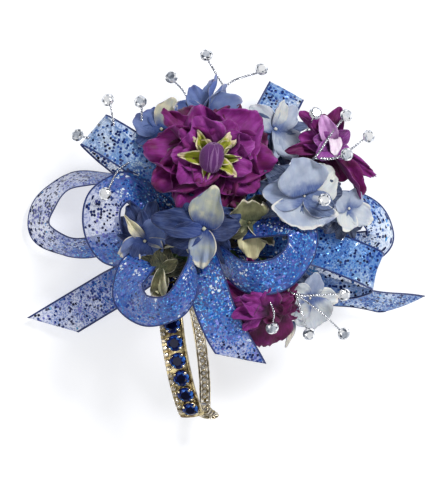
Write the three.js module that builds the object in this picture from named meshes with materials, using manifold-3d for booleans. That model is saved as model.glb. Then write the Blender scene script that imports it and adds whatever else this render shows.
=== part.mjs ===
// A wrist corsage lying on its back: purple stock blooms and blue hydrangea florets on a taped
// bundle of stems, a bow of sheer ribbon, sprays of wired stones, and an open cuff of set stones.
// X runs along the bow, Y from the cuff's open end to the top of the flowers, Z up from the table.
// Lengths are in millimetres.
import * as THREE from 'three';
import { mergeVertices } from 'three/addons/utils/BufferGeometryUtils.js';
import Module from 'manifold-3d';

const wasm = await Module();
wasm.setup();

// The whole corsage
const reach = 81; // from the middle to the tip of the left loop, and the unit of places in X and Y
const heapHeight = 50; // from the table to the florets that face up, and the unit of heights
const clearance = 0.3; // between two pieces that touch

// The cuff
const cuffLength = 65; // outside of the band from the crown to where the oval would close
const cuffDepth = 46; // outside of the band from arm to arm
const cuffEndGap = 24; // between the ends of the two arms
const bandThickness = 0.9;
const nearBandWidth = 9.6; // the near arm carries a row of large stones and a row of small ones
const farBandWidth = 4.6; // the far arm is two rails with one open row of stones between them
const railWidth = 0.8;
const railHeight = 1.5;
const bridgeLength = 2.5; // the blocks that join the far arm's rails at both ends
const plateLength = 20; // the flat plate that the flowers are bound to
const plateWidth = 12;
const plateThickness = 1.6;
const cuffSwing = 8.8; // degrees that the cuff is turned in the plane of the table
const cuffLean = -13; // degrees that the cuff leans about its own long axis
const crownShare = { x: -0.234, y: -0.13 };

// The stones of the cuff
const stoneDiameter = 6.0;
const stonePitch = 6.9;
const stoneHeight = 2.4;
const smallStoneDiameter = 2.2;
const smallStonePitch = 2.7;
const smallStoneHeight = 1.7;
const chainThickness = 0.5; // the strip that the cups are linked by
const tipThickness = 1.2;
const nearTipLength = 3;
const farTipLength = 6.5; // the far arm ends in a flared leaf
const farTipWidth = 7.6;

// The bound stems
const bundleDiameter = 8;
const bundleStep = 9; // between the bends of the faceted bundle
const stemDiameter = 2;
const stemStep = 8;
const tieThickness = 1.8;
const tieLength = 7;

// The ribbon
const ribbonWidth = 15.9;
const ribbonThickness = 0.5;
const tailSlant = 15; // how much longer one edge of a tail is than the other

// The sprays of wired stones
const wireDiameter = 1.0;
const wireStep = 4; // between the bends of a faceted wire
const gemDiameter = 5.2;
const gemHeight = 3.2;

// The flowers
const petalThickness = 0.8;
const floretRadius = 14;
const mainBloomRadius = 26;
const sideBloomRadius = 16;
const budLength = 12;
const budDiameter = 9;
const layerStep = 5.5; // from one layer of a bloom's petals to the next

// Counts of faces on round shapes
const arcSteps = 16;
const cupSides = 8;
const smallCupSides = 4;
const gemSides = 8;
const tubeSides = 5;
const bundleSides = 10;
const budRings = 8;
const petalSegments = 24;
const petalRings = 2;
const stepsPerStation = 3;

const up = new THREE.Vector3(0, 0, 1);

const finishes = {
  ribbon: { color: 0x2f4f9e, roughness: 0.35, metalness: 0.1 },
  purplePetal: { color: 0x8a2a8c, roughness: 0.7, metalness: 0 },
  bluePetal: { color: 0xa9b4dc, roughness: 0.7, metalness: 0 },
  greenPetal: { color: 0xb9c46a, roughness: 0.7, metalness: 0 },
  bud: { color: 0x6d2f74, roughness: 0.65, metalness: 0 },
  stem: { color: 0x6f8f4d, roughness: 0.8, metalness: 0 },
  gold: { color: 0xcfa64e, roughness: 0.25, metalness: 1 },
  silver: { color: 0xc4c6cc, roughness: 0.25, metalness: 1 },
  blueStone: { color: 0x1d3fae, roughness: 0.08, metalness: 0.1 },
  clearStone: { color: 0xe8edf5, roughness: 0.05, metalness: 0.1 },
};

const materials = Object.fromEntries(
  Object.entries(finishes).map(([name, finish]) => [name, new THREE.MeshStandardMaterial(finish)]),
);

// Solids and meshes

function toSolid(geometry) {
  const bare = geometry.index ? geometry.clone() : geometry;
  for (const name of Object.keys(bare.attributes)) {
    if (name !== 'position') bare.deleteAttribute(name);
  }
  const merged = mergeVertices(bare);
  const triVerts = new Uint32Array(merged.index.array);
  const vertProperties = new Float32Array(merged.attributes.position.array);
  const solid = new wasm.Manifold(new wasm.Mesh({ numProp: 3, vertProperties, triVerts }));
  if (solid.volume() >= 0) return solid;
  for (let i = 0; i < triVerts.length; i += 3) {
    [triVerts[i + 1], triVerts[i + 2]] = [triVerts[i + 2], triVerts[i + 1]];
  }
  return new wasm.Manifold(new wasm.Mesh({ numProp: 3, vertProperties, triVerts }));
}

function toGeometry(solid) {
  const mesh = solid.getMesh();
  const positions = new Float32Array((mesh.vertProperties.length / mesh.numProp) * 3);
  for (let i = 0; i < positions.length / 3; i++) {
    for (let k = 0; k < 3; k++) positions[i * 3 + k] = mesh.vertProperties[i * mesh.numProp + k];
  }
  const geometry = new THREE.BufferGeometry();
  geometry.setAttribute('position', new THREE.BufferAttribute(positions, 3));
  geometry.setIndex([...mesh.triVerts]);
  geometry.computeVertexNormals();
  return geometry;
}

function unite(solids) {
  return solids.reduce((whole, solid) => whole.add(solid));
}

function moved(geometry, matrix) {
  return toSolid(geometry.clone().applyMatrix4(matrix));
}

// The closed surface through rings of points, from one pole to the other. Each four-sided cell is
// cut along one diagonal, and along the other one where the sheet turns its other face.
function skin(startPole, rings, endPole, isOtherFace = () => false) {
  const count = rings[0].length;
  const points = [startPole, ...rings.flat(), endPole];
  const at = (ring, i) => 1 + ring * count + (i % count);
  const last = points.length - 1;
  const index = [];
  for (let i = 0; i < count; i++) {
    index.push(0, at(0, i), at(0, i + 1));
    for (let ring = 0; ring < rings.length - 1; ring++) {
      const [a, b, c, d] = [at(ring, i), at(ring + 1, i), at(ring + 1, i + 1), at(ring, i + 1)];
      if (isOtherFace(ring, i)) index.push(a, b, d, d, b, c);
      else index.push(a, b, c, a, c, d);
    }
    index.push(last, at(rings.length - 1, i + 1), at(rings.length - 1, i));
  }
  const geometry = new THREE.BufferGeometry().setFromPoints(points);
  geometry.setIndex(index);
  return geometry;
}

const corsage = new THREE.Group();
const placed = [];

function largestBody(solid) {
  const bodies = solid.decompose();
  return bodies.reduce((best, body) => (body.volume() > best.volume() ? body : best));
}

function boxOf(solid) {
  const { min, max } = solid.boundingBox();
  return new THREE.Box3(new THREE.Vector3(...min), new THREE.Vector3(...max));
}

// The half space under the table, as a slab that nothing reaches into
function tableSlab() {
  const side = reach * 4;
  const geometry = new THREE.BoxGeometry(side, side, side);
  return toSolid(geometry.translate(0, 0, -side / 2));
}

// Adds a piece as a mesh of the group. The shape function gives the solid in the piece's own
// frame, grown all round by the given amount, and what was placed before cuts it free.
function addPiece(group, name, material, shape, place = new THREE.Matrix4()) {
  group.updateWorldMatrix(true, false);
  const matrix = group.matrixWorld.clone().multiply(place);
  let solid = shape(0).transform(matrix.elements);
  for (const other of placed) {
    if (!other.grown) {
      other.grown = other.shape(clearance).transform(other.matrix.elements);
      other.box = boxOf(other.grown);
    }
    if (other.box.intersectsBox(boxOf(solid))) solid = solid.subtract(other.grown);
  }
  if (boxOf(solid).min.z < 0) solid = solid.subtract(tableSlab());
  solid = largestBody(solid);
  placed.push({ name, shape, matrix });
  const mesh = new THREE.Mesh(toGeometry(solid), material);
  mesh.geometry.applyMatrix4(matrix.clone().invert());
  mesh.name = name;
  mesh.applyMatrix4(place);
  group.add(mesh);
  return mesh;
}

// Places

function spot([x, y, z]) {
  return new THREE.Vector3(x * reach, y * reach, z * heapHeight);
}

// A frame at a point that turns +Z to a direction, after a turn about +Z
function facing(point, direction, spin = 0) {
  const turn = new THREE.Quaternion().setFromUnitVectors(up, direction.clone().normalize());
  turn.multiply(new THREE.Quaternion().setFromAxisAngle(up, THREE.MathUtils.degToRad(spin)));
  return new THREE.Matrix4().compose(point, turn, new THREE.Vector3(1, 1, 1));
}

function tube(points, radius, stepLength, sides = tubeSides) {
  const corners = [];
  for (let i = 0; i < sides; i++) {
    const angle = (2 * Math.PI * i) / sides;
    corners.push(new THREE.Vector2(radius * Math.cos(angle), radius * Math.sin(angle)));
  }
  const shape = new THREE.Shape(corners);
  const extrudePath = new THREE.CatmullRomCurve3(points);
  const steps = Math.ceil(extrudePath.getLength() / stepLength);
  return toSolid(new THREE.ExtrudeGeometry(shape, { steps, extrudePath, bevelEnabled: false }));
}

// The cuff: an open oval in its own YZ plane, its crown at +Y, the near arm at +Z

const ovalY = (cuffLength - bandThickness) / 2;
const ovalZ = (cuffDepth - bandThickness) / 2;
const rootAngle = Math.asin((plateLength / 2 + clearance + bandThickness / 2) / ovalZ);
const endAngle = Math.PI - Math.asin(cuffEndGap / 2 / ovalZ);

class ArmCurve extends THREE.Curve {
  constructor(side) {
    super();
    this.side = side;
  }

  getPoint(t, target = new THREE.Vector3()) {
    const angle = rootAngle + (endAngle - rootAngle) * t;
    return target.set(0, ovalY * Math.cos(angle), this.side * ovalZ * Math.sin(angle));
  }

  // The direction out of the oval, square to the band
  outwardAt(u) {
    const tangent = this.getTangentAt(u);
    return new THREE.Vector3(0, -this.side * tangent.z, this.side * tangent.y).negate();
  }
}

function middleOf(points) {
  return points.reduce((sum, point) => sum.add(point), new THREE.Vector3()).divideScalar(points.length);
}

// A strip that follows an arm from one share of its length to another. It lies between two
// heights over the middle of the band and between two places across it.
function armStrip(curve, { from = 0, to = 1, low, high, left, right }, grow) {
  const steps = Math.max(1, Math.round(arcSteps * (to - from)));
  const rings = [];
  for (let i = 0; i <= steps; i++) {
    const u = from + ((to - from) * i) / steps;
    const point = curve.getPointAt(u);
    const along = curve.getTangentAt(u);
    const out = curve.outwardAt(u);
    if (i === 0) point.addScaledVector(along, -grow);
    if (i === steps) point.addScaledVector(along, grow);
    const inner = point.clone().addScaledVector(out, low - grow);
    const outer = point.clone().addScaledVector(out, high + grow);
    rings.push([
      inner.clone().setX(left - grow),
      inner.clone().setX(right + grow),
      outer.clone().setX(right + grow),
      outer.clone().setX(left - grow),
    ]);
  }
  return toSolid(skin(middleOf(rings[0]), rings, middleOf(rings[steps])));
}

function nearBand(curve, grow) {
  const low = -bandThickness / 2;
  const edge = nearBandWidth / 2;
  const band = armStrip(curve, { low, high: bandThickness / 2, left: -edge, right: edge }, grow);
  return band.add(armStrip(curve, { low, high: railHeight, left: edge - railWidth, right: edge }, grow));
}

// Two rails with a block between them at each end
function farBand(curve, grow) {
  const edge = farBandWidth / 2;
  const low = -railHeight / 2;
  const high = railHeight / 2;
  const block = bridgeLength / curve.getLength();
  return unite([
    armStrip(curve, { low, high, left: -edge, right: railWidth - edge }, grow),
    armStrip(curve, { low, high, left: edge - railWidth, right: edge }, grow),
    armStrip(curve, { to: block, low, high, left: -edge, right: edge }, grow),
    armStrip(curve, { from: 1 - block, low, high, left: -edge, right: edge }, grow),
  ]);
}

// A turned shape on +Z from pairs of radius and height
function turned(profile, sides) {
  const geometry = new THREE.LatheGeometry(profile.map((pair) => new THREE.Vector2(...pair)), sides);
  return geometry.rotateX(Math.PI / 2);
}

// A set stone standing on z = 0: a cup with a cut stone in it, or a plain small cup
const girdleShare = 0.6; // of the height
const tableShare = 0.62; // of the radius

function setStone(diameter, height, sides, grow) {
  const radius = diameter / 2 + grow;
  const top = height + grow;
  if (sides === smallCupSides) return turned([[0, -grow], [radius, -grow], [radius, top], [0, top]], sides);
  const girdle = [radius, height * girdleShare];
  return turned([[0, -grow], [radius, -grow], girdle, [radius * tableShare, top], [0, top]], sides);
}

// A row of set stones along an arm, over a height above the middle of the band
function stoneRow(curve, { across, base, margin, diameter, pitch, height, sides }, grow) {
  const length = curve.getLength();
  const room = length - 2 * margin - diameter;
  const count = Math.floor(room / pitch) + 1;
  const start = (length - (count - 1) * pitch) / 2;
  const stones = [];
  for (let i = 0; i < count; i++) {
    const u = (start + i * pitch) / length;
    const out = curve.outwardAt(u);
    const seat = curve.getPointAt(u).setX(across).addScaledVector(out, base);
    stones.push(moved(setStone(diameter, height, sides, grow), facing(seat, out)));
  }
  return stones;
}

const smallStones = {
  margin: 0,
  diameter: smallStoneDiameter,
  pitch: smallStonePitch,
  height: smallStoneHeight,
  sides: smallCupSides,
};

// A strip of linked cups on the near band, with small stones beside the large ones
function nearChain(curve, grow) {
  const base = bandThickness / 2 + clearance;
  const left = -nearBandWidth / 2;
  const right = nearBandWidth / 2 - railWidth - clearance;
  const large = {
    base, margin: 0, diameter: stoneDiameter, pitch: stonePitch, height: stoneHeight, sides: cupSides,
  };
  return unite([
    armStrip(curve, { low: base, high: base + chainThickness, left, right }, grow),
    ...stoneRow(curve, { ...large, across: right - stoneDiameter / 2 }, grow),
    ...stoneRow(curve, { ...smallStones, base, across: left + smallStoneDiameter / 2 }, grow),
  ]);
}

// One open row of small stones between the rails of the far band
function farChain(curve, grow) {
  const margin = bridgeLength + clearance;
  const from = margin / curve.getLength();
  const half = smallStoneDiameter / 4;
  const low = -chainThickness / 2;
  const high = chainThickness / 2;
  const stones = { ...smallStones, margin, base: -smallStoneHeight / 2, across: 0 };
  return unite([
    armStrip(curve, { from, to: 1 - from, low, high, left: -half, right: half }, grow),
    ...stoneRow(curve, stones, grow),
  ]);
}

const shoulderShare = 0.7; // of a tip's length, where it is widest
const tipCurveSteps = 4;

// The rounded or flared leaf at the end of an arm
function armTip(curve, neckWidth, width, length, grow) {
  const shape = new THREE.Shape();
  const neck = neckWidth / 2 + grow;
  const flare = width / 2 + grow;
  const end = length + grow;
  const shoulder = length * shoulderShare;
  shape.moveTo(-neck, -grow);
  shape.bezierCurveTo(-neck, end / 3, -flare, end / 3, -flare, shoulder);
  shape.quadraticCurveTo(-flare / 2, end, 0, end);
  shape.quadraticCurveTo(flare / 2, end, flare, shoulder);
  shape.bezierCurveTo(flare, end / 3, neck, end / 3, neck, -grow);
  const depth = tipThickness + 2 * grow;
  const settings = { depth, bevelEnabled: false, curveSegments: tipCurveSteps };
  const geometry = new THREE.ExtrudeGeometry(shape, settings);
  geometry.translate(0, 0, -depth / 2);
  const along = curve.getTangentAt(1);
  const out = curve.outwardAt(1);
  const frame = new THREE.Matrix4().makeBasis(new THREE.Vector3().crossVectors(along, out), along, out);
  const seat = curve.getPointAt(1).addScaledVector(along, clearance);
  return moved(geometry, frame.setPosition(seat));
}

function crownPlate(grow) {
  const geometry = new THREE.BoxGeometry(
    plateWidth + 2 * grow,
    plateThickness + 2 * grow,
    plateLength + 2 * grow,
  );
  return toSolid(geometry.translate(0, ovalY * Math.cos(rootAngle), 0));
}

function makeCuff() {
  const cuff = new THREE.Group();
  cuff.rotation.set(0, THREE.MathUtils.degToRad(cuffLean), THREE.MathUtils.degToRad(cuffSwing), 'ZYX');
  corsage.add(cuff);
  cuff.updateWorldMatrix(true, false);
  const crown = new THREE.Vector3(0, ovalY, 0).applyMatrix4(cuff.matrixWorld);
  const near = new ArmCurve(1);
  const far = new ArmCurve(-1);
  const lowest = boxOf(farBand(far, 0).transform(cuff.matrixWorld.elements)).min.z;
  cuff.position.set(crownShare.x * reach - crown.x, crownShare.y * reach - crown.y, -lowest);
  const nearTip = (grow) => armTip(near, nearBandWidth, nearBandWidth, nearTipLength, grow);
  const farTip = (grow) => armTip(far, farBandWidth, farTipWidth, farTipLength, grow);
  addPiece(cuff, 'crown_plate', materials.gold, crownPlate);
  addPiece(cuff, 'near_arm_band', materials.gold, (grow) => nearBand(near, grow));
  addPiece(cuff, 'near_arm_stones', materials.blueStone, (grow) => nearChain(near, grow));
  addPiece(cuff, 'near_arm_tip', materials.gold, nearTip);
  addPiece(cuff, 'far_arm_band', materials.gold, (grow) => farBand(far, grow));
  addPiece(cuff, 'far_arm_stones', materials.clearStone, (grow) => farChain(far, grow));
  addPiece(cuff, 'far_arm_tip', materials.gold, farTip);
  return cuff;
}

const cuff = makeCuff();

// The flowers: where each faces is worked out from the heart of the heap

const heartShare = [-0.07, 0.12, 0.5];
const heart = spot(heartShare);
const outwardShare = 0.9; // how far a flower turns away from the heart, against facing up
const bloomUpShare = 1.5;
const gemUpShare = 1.5;

function outOfHeart(point, upShare) {
  const away = point.clone().sub(heart).multiplyScalar(outwardShare / reach);
  return away.add(new THREE.Vector3(0, 0, upShare)).normalize();
}

// A cupped, lobed and wavy sheet of petals, round +Z, with its middle at the origin
function petalSheet(style, radius, grow) {
  const layer = (lift) => {
    const rings = [];
    for (let ring = 1; ring <= petalRings; ring++) {
      const share = ring / petalRings;
      const points = [];
      for (let i = 0; i < petalSegments; i++) {
        const angle = (2 * Math.PI * i) / petalSegments;
        const lobe = 1 - style.notchShare * share * (0.5 + 0.5 * Math.cos(style.lobes * angle));
        const r = (radius * lobe + grow) * share;
        const wave = style.waveShare * Math.cos(style.waves * angle + style.phase);
        const z = radius * share * share * (style.cupShare + wave) + lift;
        points.push(new THREE.Vector3(r * Math.cos(angle), style.widthShare * r * Math.sin(angle), z));
      }
      rings.push(points);
    }
    return rings;
  };
  const half = petalThickness / 2 + grow;
  const top = layer(half);
  const bottom = layer(-half).reverse();
  const pole = new THREE.Vector3(0, 0, half);
  const isOtherFace = (ring) => ring >= petalRings;
  return toSolid(skin(pole, [...top, ...bottom], pole.clone().negate(), isOtherFace));
}

const floretStyle = {
  lobes: 4, notchShare: 0.34, waves: 4, waveShare: 0.05, phase: 0, cupShare: 0.12, widthShare: 1,
};
const ruffleStyle = {
  lobes: 6, notchShare: 0.16, waves: 6, waveShare: 0.1, phase: 1, cupShare: 0.16, widthShare: 0.78,
};
const sideRuffleStyle = {
  lobes: 5, notchShare: 0.18, waves: 5, waveShare: 0.12, phase: 2, cupShare: 0.2, widthShare: 0.95,
};
const sepalStyle = {
  lobes: 8, notchShare: 0.45, waves: 8, waveShare: 0.05, phase: 3, cupShare: 0.18, widthShare: 1,
};

// Name, place shares, share facing up, turn in degrees, share of the floret radius, petal colour
const floretShares = [
  ['floret_middle', [-0.09, 0.04, 1.1], 1.6, 10, 1.05, 'bluePetal'],
  ['floret_right', [0.4, 0.2, 0.98], 1.2, 40, 1.1, 'bluePetal'],
  ['floret_left', [-0.38, -0.02, 0.86], 1.2, 20, 0.85, 'bluePetal'],
  ['floret_lower_left', [-0.3, -0.17, 0.98], 1.4, 50, 0.66, 'greenPetal'],
  ['floret_centre_right', [0.13, 0.07, 0.92], 1.4, 30, 0.82, 'greenPetal'],
  ['floret_top', [-0.09, 0.6, 0.74], 0.8, 45, 1.0, 'bluePetal'],
  ['floret_upper_left', [-0.3, 0.53, 0.68], 0.8, 15, 0.85, 'bluePetal'],
  ['floret_top_right', [0.26, 0.53, 0.62], 0.8, 0, 0.95, 'bluePetal'],
  ['floret_far_right', [0.62, 0.14, 0.74], 0.9, 25, 0.72, 'bluePetal'],
  ['floret_lower_right', [0.43, -0.3, 0.7], 1.0, 35, 0.88, 'bluePetal'],
  ['floret_back', [-0.14, 0.4, 0.12], -0.9, 0, 0.95, 'bluePetal'],
];

const mainBloomShare = [-0.05, 0.4, 0.92];
const rightBloomShare = [0.52, 0.44, 0.76];
const lowerBloomShare = [0.22, -0.34, 0.8];

function flowerSeat(point, direction) {
  return point.clone().addScaledVector(direction, -(petalThickness / 2 + clearance));
}

const flowers = new THREE.Group();
corsage.add(flowers);

const florets = floretShares.map(([name, share, upShare, turn, radiusShare, colour]) => {
  const point = spot(share);
  const direction = outOfHeart(point, upShare);
  return { name, point, direction, turn, radius: floretRadius * radiusShare, colour };
});

// How many layer steps the topmost layer of a bloom lies above its outer petals: the sepals of the
// main bloom, and the inner petals of the others
const sepalShare = 1.5;
const innerShare = 1;

const sideBloom = { radius: sideBloomRadius, style: sideRuffleStyle, topShare: innerShare };
const mainBloom = { radius: mainBloomRadius, style: ruffleStyle, topShare: sepalShare };
const blooms = [
  { ...mainBloom, name: 'main_bloom', share: mainBloomShare, turn: 8 },
  { ...sideBloom, name: 'right_bloom', share: rightBloomShare, turn: 30 },
  { ...sideBloom, name: 'lower_bloom', share: lowerBloomShare, turn: 70 },
].map((bloom) => {
  const point = spot(bloom.share);
  const direction = outOfHeart(point, bloomUpShare);
  const lifted = (layerShare) => point.clone().addScaledVector(direction, layerShare * layerStep);
  return { ...bloom, point, direction, lifted, top: lifted(bloom.topShare) };
});

// The stems are bound into one bundle that lies on the crown plate
const bundleFoot = new THREE.Vector3(0, ovalY * Math.cos(rootAngle) + plateThickness / 2 + clearance, 0)
  .applyMatrix4(cuff.matrixWorld);
bundleFoot.y += bundleDiameter / 4;

function stemBundle(grow) {
  const along = [bundleFoot, bundleFoot.clone().lerp(heart, 0.5), heart];
  const bundle = tube(along, bundleDiameter / 2 + grow, bundleStep, bundleSides);
  const stems = [...florets, ...blooms].map((flower) => {
    const seat = flowerSeat(flower.top ?? flower.point, flower.direction);
    const below = seat.clone().addScaledVector(flower.direction, -stemDiameter * 2 - grow);
    return tube([heart, below, seat], stemDiameter / 2 + grow, stemStep);
  });
  return unite([bundle, ...stems]);
}

addPiece(flowers, 'stem_bundle', materials.stem, stemBundle);

// The tie is a ring of ribbon round the bundle
const tieCentre = bundleFoot.clone().lerp(heart, 0.5);

const tieFlatShare = 0.7; // of the tie's length, before it rounds off to its ends

function tieRing(grow) {
  const inner = bundleDiameter / 2 + clearance - grow;
  const outer = inner + tieThickness + 2 * grow;
  const half = tieLength / 2 + grow;
  const flat = half * tieFlatShare;
  const profile = [[inner, -half], [outer, -flat], [outer, flat], [inner, half], [inner, -half]];
  return toSolid(turned(profile, bundleSides));
}

addPiece(flowers, 'bow_tie', materials.ribbon, tieRing, facing(tieCentre, heart.clone().sub(bundleFoot)));

// The sprays: stones at the ends of twisted wires

const gemShares = {
  spray_gem_01: [-0.25, 0.78, 0.6],
  spray_gem_02: [-0.08, 0.89, 0.5],
  spray_gem_03: [0.19, 0.82, 0.56],
  spray_gem_04: [-0.4, 0.66, 0.68],
  spray_gem_05: [-0.56, 0.67, 0.6],
  spray_gem_06: [-0.71, 0.5, 0.5],
  spray_gem_07: [-0.57, 0.21, 0.84],
  spray_gem_08: [0.45, 0.6, 0.92],
  spray_gem_09: [0.6, 0.59, 0.86],
  spray_gem_10: [0.71, 0.49, 0.76],
  spray_gem_11: [0.6, 0.4, 1.0],
  spray_gem_12: [0.49, 0.18, 1.12],
  spray_gem_13: [0.24, -0.44, 0.84],
  spray_gem_14: [0.42, -0.47, 0.74],
  spray_gem_15: [0.59, -0.47, 0.66],
  spray_gem_16: [0.59, -0.28, 0.8],
};

const gemSeat = (name) => {
  const point = spot(gemShares[name]);
  const direction = outOfHeart(point, gemUpShare);
  return { point, direction, foot: point.clone().addScaledVector(direction, -clearance) };
};

// Routes of the wires, as shares, each ending under a stone
const wireFootShare = [-0.09, 0.09, 0.45];
const wireRouteShares = {
  left_spray_wire: [
    [wireFootShare, [-0.17, 0.2, 0.36], [-0.38, 0.4, 0.5], 'spray_gem_04'],
    [[-0.38, 0.4, 0.5], [-0.5, 0.46, 0.52], 'spray_gem_05'],
    [[-0.5, 0.46, 0.52], 'spray_gem_06'],
    [[-0.38, 0.4, 0.5], [-0.5, 0.34, 0.66], 'spray_gem_07'],
  ],
  top_spray_wire: [
    [wireFootShare, [-0.07, 0.36, 0.36], [0.01, 0.74, 0.46], 'spray_gem_03'],
    [[0.01, 0.74, 0.46], 'spray_gem_02'],
    [[-0.07, 0.36, 0.36], [-0.18, 0.7, 0.46], 'spray_gem_01'],
  ],
  right_spray_wire: [
    [wireFootShare, [0.24, 0.3, 0.44], [0.45, 0.38, 0.62], [0.53, 0.5, 0.7], 'spray_gem_09'],
    [[0.45, 0.38, 0.62], [0.6, 0.4, 0.64], 'spray_gem_10'],
    [[0.24, 0.3, 0.44], [0.4, 0.5, 0.72], 'spray_gem_08'],
    [[0.45, 0.38, 0.62], [0.55, 0.36, 0.76], 'spray_gem_11'],
  ],
  floret_stone_wire: [[wireFootShare, [0.25, 0.07, 0.5], [0.45, 0.15, 0.84], 'spray_gem_12']],
  lower_spray_wire: [
    [wireFootShare, [0.1, -0.1, 0.4], [0.36, -0.28, 0.54], [0.5, -0.28, 0.64], 'spray_gem_16'],
    [[0.36, -0.28, 0.54], [0.41, -0.38, 0.58], 'spray_gem_14'],
    [[0.36, -0.28, 0.54], [0.5, -0.4, 0.54], 'spray_gem_15'],
    [[0.1, -0.1, 0.4], [0.24, -0.34, 0.6], 'spray_gem_13'],
  ],
};

const sprays = new THREE.Group();
corsage.add(sprays);

// The wires of a spray, twisted together in a small knot where one branches off another
function sprayWire(routes, grow) {
  return unite(routes.flatMap((route) => {
    const points = route.map((stop) => (typeof stop === 'string' ? gemSeat(stop).foot : spot(stop)));
    const wire = tube(points, wireDiameter / 2 + grow, wireStep);
    if (route[0] === wireFootShare) return [wire];
    const knot = new THREE.IcosahedronGeometry(wireDiameter + grow);
    return [wire, toSolid(knot.translate(...points[0].toArray()))];
  }));
}

for (const name of Object.keys(gemShares)) {
  const { point, direction } = gemSeat(name);
  const shape = (grow) => toSolid(setStone(gemDiameter, gemHeight, gemSides, grow));
  addPiece(sprays, name, materials.clearStone, shape, facing(point, direction));
}
for (const [name, routes] of Object.entries(wireRouteShares)) {
  addPiece(sprays, name, materials.silver, (grow) => sprayWire(routes, grow));
}

// The petals

const innerRadiusShare = 0.66; // of a bloom's radius
const sepalRadiusShare = 0.95; // of the bud's length
const budDirectionShare = new THREE.Vector3(0.1, 1, 0.45);

function makeBlooms() {
  makeHeartOf(blooms[0]);
  for (const bloom of blooms) {
    const ruffle = (share) => (grow) => petalSheet(bloom.style, bloom.radius * share, grow);
    const inner = facing(bloom.lifted(innerShare), bloom.direction, bloom.turn * 2);
    const outer = facing(bloom.point, bloom.direction, bloom.turn);
    addPiece(flowers, `${bloom.name}_inner_petals`, materials.purplePetal, ruffle(innerRadiusShare), inner);
    addPiece(flowers, `${bloom.name}_outer_petals`, materials.purplePetal, ruffle(1), outer);
  }
}

// The bud that lies in the middle of the main bloom, on a star of sepals
function makeHeartOf({ name, top, direction }) {
  const middle = top.clone().addScaledVector(direction, (budDiameter + petalThickness) / 2);
  const star = (grow) => petalSheet(sepalStyle, budLength * sepalRadiusShare, grow);
  addPiece(flowers, `${name}_bud`, materials.bud, bud, facing(middle, budDirectionShare));
  addPiece(flowers, `${name}_sepals`, materials.greenPetal, star, facing(top, direction));
}

function bud(grow) {
  const geometry = new THREE.SphereGeometry(1, bundleSides, budRings);
  const radius = budDiameter / 2 + grow;
  return toSolid(geometry.rotateX(Math.PI / 2).scale(radius, radius, budLength / 2 + grow));
}

function makeFlorets() {
  for (const floret of florets) {
    const shape = (grow) => petalSheet(floretStyle, floret.radius, grow);
    const frame = facing(floret.point, floret.direction, floret.turn);
    addPiece(flowers, floret.name, materials[floret.colour], shape, frame);
  }
}

makeBlooms();
makeFlorets();

// The bow: each strip has stations of place, lean in degrees and width share. At a lean of zero
// the ribbon lies flat, and at ninety it stands on its edge. Where a strip folds back under itself,
// a fourth value gives the way that its width runs, in degrees from the X axis.

const gatheredShare = 0.3; // of the width, where a strip is drawn in under the tie
const tieRadius = bundleDiameter / 2 + tieThickness + 2 * clearance;
const tieAxis = heart.clone().sub(bundleFoot).normalize();
const tieSide = new THREE.Vector3().crossVectors(tieAxis, up).normalize();

// A strip's end on the side of the tie, at a level from -1 at its underside to 1 at its top
function besideTie(side, level) {
  const height = level * tieRadius;
  const away = Math.sqrt(tieRadius * tieRadius - height * height) + clearance;
  return tieCentre.clone().addScaledVector(tieSide, side * away).addScaledVector(up, height);
}

// A strip's end on top of the tie, at a place from -1 on its left to 1 on its right
function onTie(place) {
  const across = place * tieRadius;
  const height = Math.sqrt(tieRadius * tieRadius - across * across) + clearance;
  return tieCentre.clone().addScaledVector(tieSide, across).addScaledVector(up, height);
}

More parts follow.
